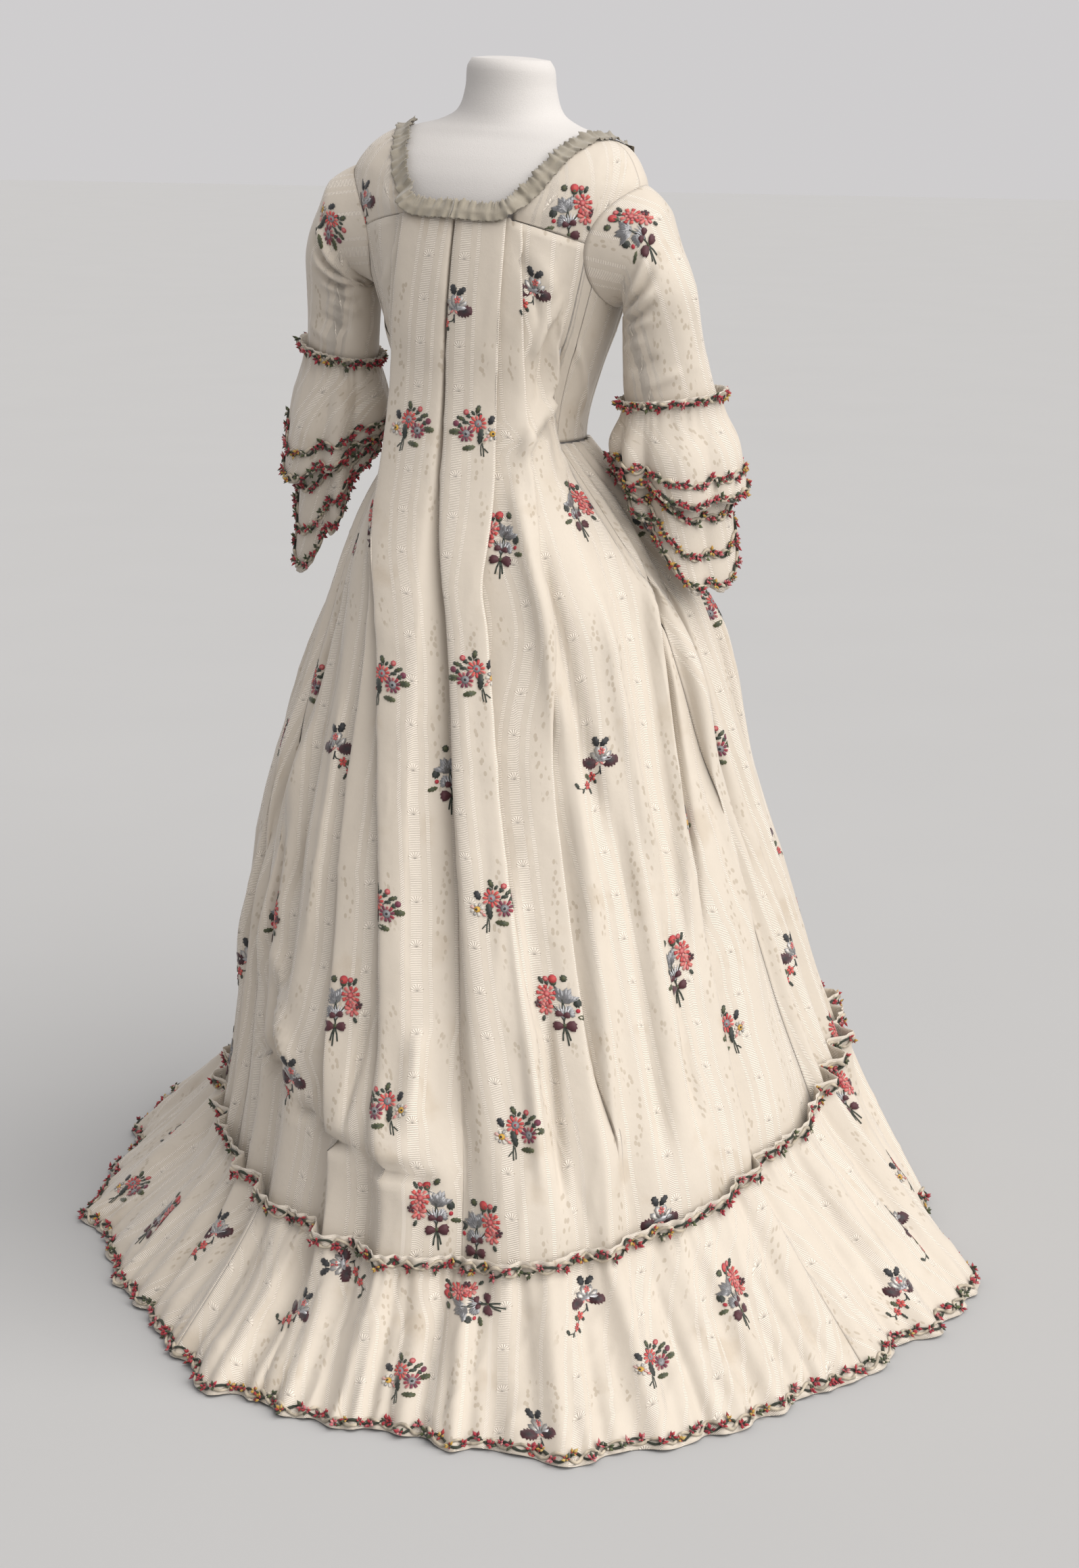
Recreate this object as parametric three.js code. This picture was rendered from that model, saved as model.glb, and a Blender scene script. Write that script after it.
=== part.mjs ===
// Sack-back gown (robe with two box-pleated panels falling free from the back neckline) worn on a limbless
// dress form with its pole and round foot. Millimetres, +Z up. The front faces -Y, the wearer's left is +X.
// The origin is on the floor at the middle of the foot's underside.
//
// Each panel is a wall of cloth laid through horizontal sections. A section is worked out from the ring table
// (the skirt's outline at a height) and the knot tables (a row for each fold edge, as an angle round the ring
// and a lift off it). Seams are SEAM apart.
import * as THREE from "three";

// ---- Driving dimensions -------------------------------------------------------------------------
const CLOTH = 1.6; // wall that stands for silk with its lining
const SEAM = 0.3;
const NECKLINE_BACK = 1297;
const WAIST = 1020;
const HIP = 860;
const KNEE = 560;
const HEM_LEVEL = 180; // level at which the last column of the knot tables holds
const FORM_EASE = 4.2; // from the form out to the bodice's middle surface
const SHOULDER_EASE = 2.6; // the same on top of the shoulders, where the gown rests
const SEAM_ANGLE = 62; // side-back seam, degrees from centre back
const LEAN = 3; // degrees: the form stands a little askew, its left shoulder higher
const FOOT_RADIUS = 150;
const POLE_RADIUS = 14;
const FORM_BOTTOM = 824;
const SKIRT_TOP = WAIST - CLOTH;

// ---- Tables -------------------------------------------------------------------------------------
const named = (columns, rows) => {
  const keys = columns.split(" ");
  return rows.map((row) => Object.fromEntries(keys.map((key, i) => [key, row[i]])));
};

// The form's figure: elliptical sections with their own depth behind and in front of shiftY.
const FIGURE = named("z halfWidth back front shiftY", [
  [822, 172, 120, 122, 0],
  [880, 168, 118, 120, 0],
  [930, 148, 106, 112, 0],
  [975, 122, 90, 100, 0],
  [1020, 109, 82, 92, 0],
  [1060, 114, 85, 97, 0],
  [1110, 128, 92, 110, 0],
  [1160, 146, 99, 124, 0],
  [1210, 163, 104, 128, 0],
  [1255, 177, 105, 118, 0],
  [1300, 188, 101, 102, 0],
  [1335, 190, 93, 88, -6],
  [1358, 180, 84, 77, -14],
  [1374, 164, 77, 69, -24],
  [1384, 146, 72, 63, -31],
  [1392, 122, 68, 59, -34],
  [1400, 92, 64, 57, -37],
  [1413, 68, 60, 56, -39],
  [1440, 57, 55, 55, -40],
  [1466, 54, 54, 54, -40],
  [1476, 48, 48, 48, -40],
]);

// The skirt's outline at a height, measured from the pole in a frame turned by twist about it.
const RINGS = named("z left right back front twist", [
  [1020, 113, 113, 86, 96, 0],
  [990, 136, 140, 110, 112, -2],
  [945, 163, 178, 148, 150, -5],
  [880, 190, 222, 190, 195, -9],
  [830, 206, 250, 218, 222, -12],
  [740, 236, 280, 258, 252, -15],
  [650, 264, 303, 298, 276, -17],
  [550, 292, 333, 345, 300, -19],
  [450, 308, 366, 392, 322, -20],
  [330, 322, 402, 446, 346, -21],
  [230, 334, 436, 494, 364, -22],
  [130, 352, 468, 536, 384, -22],
  [40, 372, 496, 574, 400, -22],
]);

// How far the pleated back hangs free of the figure, at its middle.
const BULGE = named("z out", [
  [300, 0],
  [560, 6],
  [800, 22],
  [1020, 40],
  [1120, 30],
  [1220, 12],
  [1297, 1],
  [1400, 0],
]);
const BULGE_END = 52;

// Fold edges of the pleated back, from centre back outwards on its left and its right: angle a and lift l at
// the neckline (T), waist (W), hip (U), knee (K) and hem (H). Two box pleats lie on each other; each turns
// under itself and comes out again. The two sides hang differently.
const LEFT_PLEATS = named("aT lT aW lW aU lU aK lK aH lH", [
  [0.0, 1, 2.2, 1, 0.9, -4, 1.4, -8, 1.8, -6],
  [0.5, 5, 2.7, 5, 3.2, 3, 5.5, -2, 5, 0],
  [0.9, 12, 3.5, 14, 6.4, 14, 11.4, 14, 9, 8],
  [5.0, 14, 8.0, 17, 8.8, 19, 12.8, 19, 12, 15],
  [13.0, 14, 19.0, 18, 14.5, 22, 15.0, 22, 14, 18],
  [20.2, 14, 30.5, 19, 21.3, 23, 17.6, 23, 16, 20],
  [20.8, 12, 31.1, 16, 21.9, 19, 18.2, 18, 17.4, 15],
  [20.2, 10.2, 30.2, 13, 21.2, 14, 17.7, 12.5, 18.6, 8],
  [17.8, 9.8, 27.4, 12, 19.4, 12, 16.2, 9.5, 19.8, 2],
  [17.3, 8.1, 26.8, 9.8, 18.9, 9.5, 15.9, 6.5, 21, -2],
  [17.8, 6.4, 27.4, 7.4, 19.4, 7, 16.4, 4, 22.2, -2],
  [21.2, 6, 33.0, 8.5, 22.6, 8.6, 22.5, 8, 24.5, 7],
  [24.3, 5.6, 37.6, 10, 25.4, 12.5, 28.6, 15, 28, 17],
  [24.9, 4.2, 38.2, 7.6, 26.0, 9.5, 29.3, 11, 29, 13],
  [24.3, 2.9, 37.4, 5.4, 25.4, 6.4, 28.7, 6, 30, 5],
  [22.7, 2.9, 35.6, 4.4, 24.0, 4.4, 27.2, 3, 31.2, -3],
  [22.2, 1.5, 35.1, 2.2, 23.5, 1.8, 26.8, 0, 32.4, -6],
  [22.8, 0, 35.7, 0, 24.1, -1, 27.5, -3, 34, -5],
  [29.0, 0, 41.0, 3, 31.0, 3, 34.0, 3, 38, 6],
  [38.0, 0, 45.0, 7, 39.0, 9, 40.0, 14, 43.5, 15],
  [45.5, 0, 49.0, 1, 45.0, 0, 46.0, -3, 49, -5],
  [52.0, 0, 53.0, 3, 50.5, 7, 50.5, 10, 54, 12],
  [56.5, 0, 57.0, 1, 55.0, 0, 55.0, -4, 58, -4],
  [59.5, 0, 59.7, 0, 59.0, 2, 59.0, 5, 62, 5],
  [61.9, 0, 61.9, 0, null, null, 62.9, 0, 65.9, 0],
]);
const RIGHT_PLEATS = named("aT lT aW lW aU lU aK lK aH lH", [
  [0.0, 1, -2.2, 1, -0.9, -4, -1.4, -8, -1.8, -6],
  [0.5, 5, -1.8, 6, -0.6, 6, -1.1, 6, 0.4, 2],
  [0.9, 12, -1.2, 15, -0.1, 17, -0.5, 20, 2.6, 13],
  [4.0, 14, 2.5, 18, 2.0, 21, 1.6, 24, 5, 19],
  [12.0, 14, 13.0, 18, 5.5, 22, 4.6, 22, 8, 20],
  [18.8, 14, 22.3, 18, 9.6, 22, 7.8, 22, 10.8, 20],
  [19.4, 12, 22.9, 15.5, 10.1, 18, 8.3, 17, 12.4, 17],
  [18.8, 10.2, 22.1, 13, 9.5, 14, 7.8, 12, 13.6, 13],
  [16.6, 9.8, 19.4, 12, 7.9, 12, 6.6, 9.5, 14.8, 10],
  [16.1, 8.1, 18.8, 9.8, 7.5, 9.5, 6.3, 6.5, 15.8, 9],
  [16.6, 6.4, 19.4, 7.4, 7.9, 7, 6.7, 4, 16.7, 9],
  [20.6, 6, 28.5, 9, 15.0, 9, 12.5, 9, 17.8, 12],
  [24.3, 5.6, 35.6, 11, 23.6, 13, 18.6, 15.5, 19.4, 17],
  [24.9, 4.2, 36.2, 8.5, 24.2, 10, 19.3, 12, 20.4, 13],
  [24.2, 2.9, 35.4, 6, 23.5, 6.5, 18.8, 7.5, 21.4, 7],
  [22.4, 2.9, 33.4, 4.8, 21.9, 4.6, 17.4, 5, 22.4, 1],
  [21.9, 1.5, 32.9, 2.4, 21.4, 1.8, 17.0, 2.5, 23.4, -2],
  [22.5, 0, 33.5, 0.2, 22.0, -1, 17.7, 0, 24.5, -2],
  [29.0, 0, 40.0, 4, 31.0, 4, 27.0, 3, 29, 6],
  [38.0, 0, 45.0, 8, 40.0, 10, 36.0, 13, 36, 14],
  [45.5, 0, 49.5, 1, 48.0, 2, 42.5, 4, 41, 5],
  [53.0, 0, 54.5, 3, 57.5, 6, 49.2, 9, 44.5, 9],
  [57.6, 0, 58.2, 0, 60.0, 1, 50.4, -4, 46, -6],
  [59.6, 0, 60.0, 0, 61.2, 0.5, 56.0, 7, 55, 13],
  [61.9, 0, 61.9, 0, null, null, 62.9, 0, 65.9, 0],
]);

// Folds of the side skirt and the front skirt, pleated into the waist seam: ridges and the valleys between.
const SIDE_FOLDS = named("aW lW aK lK aH lH", [
  [62.1, 0, 63.1, 0, 66.1, 0],
  [65.5, 4, 66.0, 12, 68.5, 15],
  [69.0, 0, 69.5, -4, 71.5, -6],
  [73.0, 5, 74.0, 9, 75.5, 16],
  [77.0, 0, 78.0, -6, 79.0, -9],
  [81.5, 5, 82.5, 12, 83.0, 18],
  [86.0, 0, 87.0, -3, 87.0, -4],
  [90.5, 5, 91.5, 8, 92.0, 13],
  [95.0, 0, 96.0, -6, 96.0, -9],
  [99.5, 5, 100.5, 11, 101.0, 15],
  [104.0, 0, 105.0, -4, 105.0, -6],
  [109.0, 4, 110.0, 9, 110.0, 12],
  [113.5, 0, 114.0, -3, 114.5, -5],
  [117.9, 0, 117.9, 0, 117.9, 0],
]);
const FRONT_FOLDS = named("aW lW aK lK aH lH", [
  [118.1, 0, 118.1, 0, 118.1, 0],
  [122.0, 5, 122.5, 10, 123.0, 14],
  [126.5, 0, 127.0, -4, 127.5, -7],
  [132.0, 5, 132.5, 9, 133.0, 13],
  [138.0, 0, 138.0, -4, 139.0, -6],
  [144.0, 4, 145.0, 8, 146.0, 12],
  [151.0, 0, 152.0, -3, 153.0, -5],
  [159.0, 3, 160.0, 6, 160.5, 9],
  [168.0, 0, 169.0, -1, 169.0, -2],
  [175.0, 1, 175.0, 2, 175.0, 3],
  [179.93, 1, 179.96, 2, 179.97, 3],
]);

// Soft swellings of the skirt off its rings: the puff that sags over the train's header, and the hip.
const SWELLS = named("a z wide tall out", [
  [34, 340, 9, 70, 18],
  [20, 272, 8, 52, 24],
  [7, 232, 7, 40, 12],
  [-52, 900, 12, 60, 8],
]);

// Neckline: height at an angle from centre back.
const NECKLINE = named("a z", [
  [0, 1297],
  [14, 1297],
  [18, 1299.5],
  [21.5, 1306],
  [25, 1318],
  [29, 1334],
  [36, 1358.5],
  [45, 1374.5],
  [60, 1384.5],
  [78, 1387.5],
  [92, 1385],
  [104, 1379.5],
  [112, 1374.5],
  [122, 1369],
  [132, 1361],
  [140, 1352],
  [146, 1334],
  [152, 1305],
  [158, 1275],
  [165, 1248],
  [172, 1232],
  [180, 1225],
]);
const ARMHOLE = { angle: 91, height: 1270, back: 37, front: 30, up: 66, down: 74 };

// The line the flounce is gathered on: height round the skirt, by the ring's own angle.
const HEADER = named("a z", [
  [-180, 262],
  [-140, 258],
  [-100, 246],
  [-75, 232],
  [-50, 190],
  [-25, 142],
  [0, 126],
  [25, 130],
  [50, 142],
  [75, 158],
  [100, 182],
  [140, 240],
  [180, 262],
]);
// The flounce's lower edge on the floor: distance from the pole at an angle from centre back.
const HEM = named("a out", [
  [-180, 545],
  [-150, 556],
  [-122, 545],
  [-110, 562],
  [-99, 592],
  [-90, 648],
  [-82, 679],
  [-70, 676],
  [-56, 708],
  [-45, 730],
  [-32, 758],
  [-20, 712],
  [-8, 684],
  [4, 664],
  [14, 610],
  [26, 560],
  [42, 543],
  [56, 546],
  [70, 532],
  [84, 542],
  [100, 612],
  [112, 622],
  [130, 586],
  [155, 556],
  [180, 545],
]);
const FLOUNCE = {
  waves: 56,
  frill: 22, // height of the frill above the gathers
  frillOut: 9,
  gatherSwing: 3.6,
  hemSwing: 15,
  clear: 2.6, // from the skirt
  sag: 10,
  hemHeight: 1.1,
};

// Sleeves: sections from the shoulder to the elbow, after the armhole itself. outAngle turns the section's
// long axis from vertical (90) to sideways (0); forward turns it towards the front.
const SLEEVE = named("t x y z outAngle forward long short", [
  [1, 203, 0, 1262, 68, 0, 67, 61],
  [2, 213, 0, 1236, 50, 4, 58, 58],
  [3, 217, -1, 1209, 26, 12, 49, 53],
  [4, 218, -3, 1181, 12, 20, 47, 46],
  [5, 220, -6, 1148, 8, 27, 49, 43],
  [6, 224, -10, 1112, 8, 33, 53, 41],
  [7, 229, -14, 1080, 8, 37, 57, 40],
]);
const SLEEVE_END = 7;
const LEFT_SLEEVE_RAISE = 16; // the left sleeve is drawn up a little

// Cuff flounces: drop at the longest and the shortest place, the frill above the gathers, how far the flounce
// flares, and the swing of its waves.
const CUFFS = named("name drop least frill flare swing waves", [
  ["upper", 128, 76, 13, 10, 6, 9],
  ["lower", 246, 86, 0, 3, 5, 9],
]);
const CUFF_HANG = { left: { longest: 95, extra: 32 }, right: { longest: 58, extra: 0 } };
const CUFF_PUSH = 15; // the skirt pushes the hanging cuffs out by this much at their lower edge

// ---- Small helpers ------------------------------------------------------------------------------
const RAD = Math.PI / 180;
const mix = (a, b, t) => a + (b - a) * t;
const clamp01 = (t) => Math.min(1, Math.max(0, t));
const ease = (t) => clamp01(t) ** 2 * (3 - 2 * clamp01(t));

function hermite(from, fromSlope, to, toSlope, t) {
  const [t2, t3] = [t * t, t * t * t];
  const share = 3 * t2 - 2 * t3;
  return (1 - share) * from + (t3 - 2 * t2 + t) * fromSlope + share * to + (t3 - t2) * toSlope;
}

const steps = (count) => [...Array(count + 1).keys()];
const evenly = (from, to, count) => steps(count).map((i) => mix(from, to, i / count));

// The value between the entries of a list, at a whole or broken place.
function between(list, at) {
  const i = Math.min(Math.max(Math.floor(at), 0), list.length - 2);
  return mix(list[i], list[i + 1], at - i);
}

// Smooth value of a column at a place along the table's first column.
function along(table, key, column, at) {
  const last = table.length - 1;
  const ascending = table[last][key] > table[0][key];
  const place = (i) => table[ascending ? i : last - i];
  const x = Math.min(Math.max(at, place(0)[key]), place(last)[key]);
  let i = 0;
  while (i < last - 1 && place(i + 1)[key] < x) i += 1;
  const [p0, p1, p2, p3] = [i - 1, i, i + 1, i + 2].map((n) => place(Math.min(Math.max(n, 0), last)));
  const width = p2[key] - p1[key];
  const t = (x - p1[key]) / width;
  const slope = (a, b) => (b[key] === a[key] ? 0 : ((b[column] - a[column]) / (b[key] - a[key])) * width);
  const m1 = slope(p0, p2);
  const m2 = slope(p1, p3);
  const d = p2[column] - p1[column];
  // Tangents are held back so that no overshoot makes the cloth cross itself.
  const hold = (m) => (d === 0 ? 0 : Math.sign(d) * Math.min(Math.max(m * Math.sign(d), 0), 3 * Math.abs(d)));
  const h1 = hold(m1);
  const h2 = hold(m2);
  return hermite(p1[column], h1, p2[column], h2, t);
}

// A point on an ellipse with four half-axes, moved out along its normal.
function onEllipse(angle, left, right, back, front, out) {
  const s = Math.sin(angle * RAD);
  const c = Math.cos(angle * RAD);
  const rx = s > 0 ? left : right;
  const ry = c > 0 ? back : front;
  const n = new THREE.Vector2(s / rx, c / ry).normalize();
  return new THREE.Vector2(rx * s + n.x * out, ry * c + n.y * out);
}

// The form's lean: nothing at the waist, whole from the armholes up.
const leanBy = (p, share) => p.setZ(p.z + p.x * Math.tan(LEAN * RAD) * share);
const leaned = (p) => leanBy(p, ease((p.z - WAIST) / 170));

// The figure's surface before it leans, moved out.
function figureUpright(angle, z, out) {
  const at = (a, height) => {
    const half = along(FIGURE, "z", "halfWidth", height);
    const [back, front] = ["back", "front"].map((column) => along(FIGURE, "z", column, height));
    const p = onEllipse(a, half, half, back, front, 0);
    return new THREE.Vector3(p.x, p.y + along(FIGURE, "z", "shiftY", height), height);
  };
  const up = at(angle, z + 2).sub(at(angle, z - 2));
  const round = at(angle + 1, z).sub(at(angle - 1, z));
  return at(angle, z).addScaledVector(up.cross(round).normalize(), out);
}
const figurePoint = (angle, z, out) => leaned(figureUpright(angle, z, out));

// From the form to the bodice's middle surface: close on top of the shoulders, easier below.
function bodiceEase(z) {
  return mix(FORM_EASE, SHOULDER_EASE, ease((z - 1325) / 35));
}

// The armhole's edge: its height at an angle, above or below its middle.
const armholeReach = (angle) => (angle < ARMHOLE.angle ? ARMHOLE.back : ARMHOLE.front);
function armholeEdge(angle, up) {
  const t = (angle - ARMHOLE.angle) / armholeReach(angle);
  return ARMHOLE.height + (up ? ARMHOLE.up : -ARMHOLE.down) * Math.sqrt(Math.max(0, 1 - t * t));
}

// ---- Wall of cloth ------------------------------------------------------------------------------
// The direction of a path at p, halfway between the way it comes and the way it goes on.
const heading = (from, to) => to.clone().sub(from).normalize();
const bisector = (before, p, after) => heading(before, p).add(heading(p, after));

// point(u, v) gives the middle surface. us and vs are the places it is taken at. ring closes it along u.
function wall(point, us, vs, ring = false, thickness = CLOTH) {
  const step = 0.02;
  const sides = [[], []];
  for (const v of vs) {
    for (const u of us) {
      const p = point(u, v);
      const alongU = bisector(point(u - step, v), p, point(u + step, v));
      const alongV = bisector(point(u, v - step), p, point(u, v + step));
      const normal = alongU.cross(alongV).normalize();
      sides[0].push(p.clone().addScaledVector(normal, thickness / 2));
      sides[1].push(p.clone().addScaledVector(normal, -thickness / 2));
    }
  }
  const columns = us.length;
  const rows = vs.length;
  const points = [...sides[0], ...sides[1]];
  const faces = [];
  const id = (side, j, i) => side * rows * columns + j * columns + (i % columns);
  const quad = (a, b, c, d) => faces.push(a, b, c, a, c, d);
  const spans = ring ? columns : columns - 1;
  for (let j = 0; j < rows - 1; j += 1) {
    for (let i = 0; i < spans; i += 1) {
      quad(id(0, j, i), id(0, j, i + 1), id(0, j + 1, i + 1), id(0, j + 1, i));
      quad(id(1, j, i), id(1, j + 1, i), id(1, j + 1, i + 1), id(1, j, i + 1));
    }
    if (!ring) {
      quad(id(0, j, 0), id(0, j + 1, 0), id(1, j + 1, 0), id(1, j, 0));
      quad(id(0, j + 1, spans), id(0, j, spans), id(1, j, spans), id(1, j + 1, spans));
    }
  }
  for (let i = 0; i < spans; i += 1) {
    quad(id(0, 0, i + 1), id(0, 0, i), id(1, 0, i), id(1, 0, i + 1));
    quad(id(0, rows - 1, i), id(0, rows - 1, i + 1), id(1, rows - 1, i + 1), id(1, rows - 1, i));
  }
  return solid(points, faces);
}

// A closed geometry with its faces pointing out.
function solid(points, faces) {
  const volume = faces.reduce((sum, _, n) => {
    if (n % 3) return sum;
    const [a, b, c] = [points[faces[n]], points[faces[n + 1]], points[faces[n + 2]]];
    return sum + a.dot(b.clone().cross(c));
  }, 0);
  const turned = volume < 0 ? faces.map((_, n) => faces[n - (n % 3) + [0, 2, 1][n % 3]]) : faces;
  const geometry = new THREE.BufferGeometry().setFromPoints(points);
  geometry.setIndex(turned);
  return geometry;
}

// ---- Skirt and pleated back: one surface, cut into panels ---------------------------------------
const LEVELS = [
  ["T", NECKLINE_BACK],
  ["W", WAIST],
  ["U", HIP],
  ["K", KNEE],
  ["H", HEM_LEVEL],
];

// A knot's angle or lift at a height, from the levels that its row gives. The skirt's folds have no T.
function knotAt(row, letter, z) {
  const value = (level) => row[letter + level] ?? (level === "T" ? row[`${letter}W`] : null);
  const table = LEVELS.map(([level, height]) => ({ z: height, value: value(level) }));
  return along(table.filter((entry) => entry.value !== null), "z", "value", z);
}

// A knot table's angle and lift at a place between its rows. The cloth runs on level past its seams.
function sectionAt(knots, k, z) {
  const last = knots.length - 1;
  const i = Math.min(Math.max(Math.floor(k), 0), last - 1);
  const at = (n, letter) => {
    const inside = n < 0 ? -n : n > last ? 2 * last - n : n;
    if (inside === n || letter === "l") return knotAt(knots[inside], letter, z);
    return 2 * knotAt(knots[n < 0 ? 0 : last], letter, z) - knotAt(knots[inside], letter, z);
  };
  const spline = (letter) => {
    const [p0, p1, p2, p3] = [i - 1, i, i + 1, i + 2].map((n) => at(n, letter));
    return hermite(p1, (p2 - p0) / 2, p2, (p3 - p1) / 2, k - i);
  };
  return { angle: spline("a"), lift: spline("l") };
}

function swell(angle, z) {
  const away = (row) => ((angle - row.a) / row.wide) ** 2 + ((z - row.z) / row.tall) ** 2;
  return SWELLS.reduce((sum, row) => sum + row.out * Math.exp(-away(row)), 0);
}

// The gown's surface at a ring angle (+ is the wearer's left), height and lift.
function gownPoint(angle, z, lift) {
  const free = along(BULGE, "z", "out", z) * ease((BULGE_END - Math.abs(angle)) / 22);
  if (z >= WAIST) return leaned(figureUpright(angle, z, bodiceEase(z) + lift + free).setZ(z));
  const ring = (column) => along(RINGS, "z", column, z);
  const out = lift + free + swell(angle, z);
  const p = onEllipse(angle, ring("left"), ring("right"), ring("back"), ring("front"), out);
  const twist = -ring("twist") * RAD;
  const [c, s] = [Math.cos(twist), Math.sin(twist)];
  return new THREE.Vector3(p.x * c - p.y * s, p.x * s + p.y * c, z);
}

const headerHeight = (angle) => along(HEADER, "a", "z", angle);
const UNDER_FLOUNCE = 14;
// Rows of the skirt, as shares of the way down from the waist, and how many there are from armhole to waist.
const SKIRT_ROWS = [0, 0.035, 0.09, 0.16, 0.27, 0.4, 0.55, 0.7, 0.85, 1];
const BODICE_ROWS = 5;

// A panel hung from its knots: rows from top(k) to the waist, if it starts above it, and down to the flounce.
function skirtPanel(knots, side, top) {
  const point = (k, v) => {
    const hemAngle = side * sectionAt(knots, k, HEM_LEVEL).angle;
    const low = headerHeight(hemAngle) - UNDER_FLOUNCE;
    const down = (from) => SKIRT_ROWS.map((share) => mix(from, low, share));
    const above = top ? evenly(top(k), WAIST, BODICE_ROWS).slice(0, -1) : [];
    const heights = [...above, ...down(top ? WAIST : SKIRT_TOP)];
    const z = between(heights, v);
    const { angle, lift } = sectionAt(knots, k, z);
    return gownPoint(side * angle, z, lift);
  };
  return wall(point, steps(knots.length - 1), steps(SKIRT_ROWS.length - 1 + (top ? BODICE_ROWS : 0)));
}

const mirrored = (rows) => [...rows].reverse().map((row) => {
  const turned = { ...row };
  for (const key of Object.keys(row)) if (key.startsWith("a") && row[key] !== null) turned[key] = -row[key];
  return turned;
});

// The slanted seam under the yoke, from the neckline to the armhole.
const YOKE = { from: 21, height: NECKLINE_BACK - 3, to: ARMHOLE.angle - ARMHOLE.back };
const slant = (angle) => {
  const share = clamp01((angle - YOKE.from) / (YOKE.to - YOKE.from));
  return mix(YOKE.height, ARMHOLE.height, share);
};

const SACK_SEAM = 0.8; // from the slanted seam down to the pleated back's edge

// Where the pleated back is sewn on: under the neckline trim, down the slanted seam, then round the armhole.
function sackTop(angle) {
  if (angle < YOKE.from) return NECKLINE_BACK - 1;
  return (angle <= YOKE.to ? slant(angle) : armholeEdge(angle, false)) - SACK_SEAM;
}

const backKnots = [...mirrored(RIGHT_PLEATS), ...LEFT_PLEATS.slice(1)];
const pleatedBack = () =>
  skirtPanel(backKnots, 1, (k) => sackTop(Math.abs(sectionAt(backKnots, k, NECKLINE_BACK).angle)));
const sideSkirt = (side) => skirtPanel(SIDE_FOLDS, side);
const frontSkirt = (side) => skirtPanel(FRONT_FOLDS, side);

// ---- Bodice -------------------------------------------------------------------------------------
// A bodice piece: its columns' angles and, for each, its rows' heights. startAt moves the first edge.
function bodicePiece(side, angles, heights, startAt = () => angles[0]) {
  const last = angles.length - 1;
  const point = (u, v) => {
    const plain = between(angles, u);
    const z = between(heights(plain), v);
    const shift = startAt(between(heights(angles[0]), v)) - angles[0];
    const angle = plain + shift * (1 - (plain - angles[0]) / (angles[last] - angles[0])) ** 3;
    return figurePoint(side * angle, z, bodiceEase(z));
  };
  return wall(point, steps(last), steps(heights(angles[0]).length - 1));
}

const neckline = (angle) => along(NECKLINE, "a", "z", angle);
const SHOULDER_SEAM = 83;
const STRAP_END = 112;
const SIDE_SEAM = 100;
const HALF_SEAM_ANGLE = 0.1; // degrees, half of a seam's gap on the torso
const CENTRE_FRONT = 179.93;

const yokeEdge = (angle) => (angle <= YOKE.to ? slant(angle) : armholeEdge(angle, true));
const YOKE_END = SHOULDER_SEAM - HALF_SEAM_ANGLE;
const YOKE_COLUMNS = [YOKE.from + 0.2, 25, 30, 36, 42, 48, YOKE.to, 55, 57.5, 61, 66, 71, 77, YOKE_END];
const backYoke = (side) =>
  bodicePiece(side, YOKE_COLUMNS, (a) => evenly(neckline(a), yokeEdge(a), 4));
const shoulderStrap = (side) =>
  bodicePiece(side, evenly(SHOULDER_SEAM + HALF_SEAM_ANGLE, STRAP_END - HALF_SEAM_ANGLE, 6),
    (a) => evenly(neckline(a), armholeEdge(a, true), 4));
const sideBody = (side) =>
  bodicePiece(side, evenly(SEAM_ANGLE + HALF_SEAM_ANGLE, SIDE_SEAM - HALF_SEAM_ANGLE, 6),
    (a) => evenly(armholeEdge(a, false), WAIST, BODICE_ROWS));

// The front's armhole edge: the angle it starts at, by height.
function frontStart(z) {
  const reach = z > ARMHOLE.height ? ARMHOLE.up : ARMHOLE.down;
  const t = (z - ARMHOLE.height) / reach;
  const edge = ARMHOLE.angle + ARMHOLE.front * Math.sqrt(Math.max(0, 1 - t * t));
  return Math.max(edge, (z > ARMHOLE.height ? STRAP_END : SIDE_SEAM) + HALF_SEAM_ANGLE);
}
const underarm = armholeEdge(SIDE_SEAM, false);
const FRONT_START = STRAP_END + HALF_SEAM_ANGLE;
const FRONT_COLUMNS = [FRONT_START, 119, 126, 133, 139.5, 145, 150, 155, 160, 166, 173, CENTRE_FRONT];
const frontHeights = (angle) => {
  const above = evenly(neckline(angle), underarm, 6).slice(0, -1);
  return [...above, ...evenly(underarm, WAIST, BODICE_ROWS)];
};
const bodiceFront = (side) => bodicePiece(side, FRONT_COLUMNS, frontHeights, frontStart);

// ---- Sleeves ------------------------------------------------------------------------------------
const ON_BODICE = CLOTH / 2 + SEAM + 1.5; // the sleeve's edge stands this far off the bodice's middle surface
const ARMHOLE_LAP = 1.03;

// The sleeve's edge round the armhole. turn is degrees from the top towards the back.
function armholePoint(turn) {
  const [s, c] = [Math.sin(turn * RAD), Math.cos(turn * RAD)];
  const angle = ARMHOLE.angle - (s > 0 ? ARMHOLE.back : ARMHOLE.front) * ARMHOLE_LAP * s;
  const z = ARMHOLE.height + (c > 0 ? ARMHOLE.up : ARMHOLE.down) * ARMHOLE_LAP * c;
  return figureUpright(angle, z, bodiceEase(z) + ON_BODICE);
}

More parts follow.
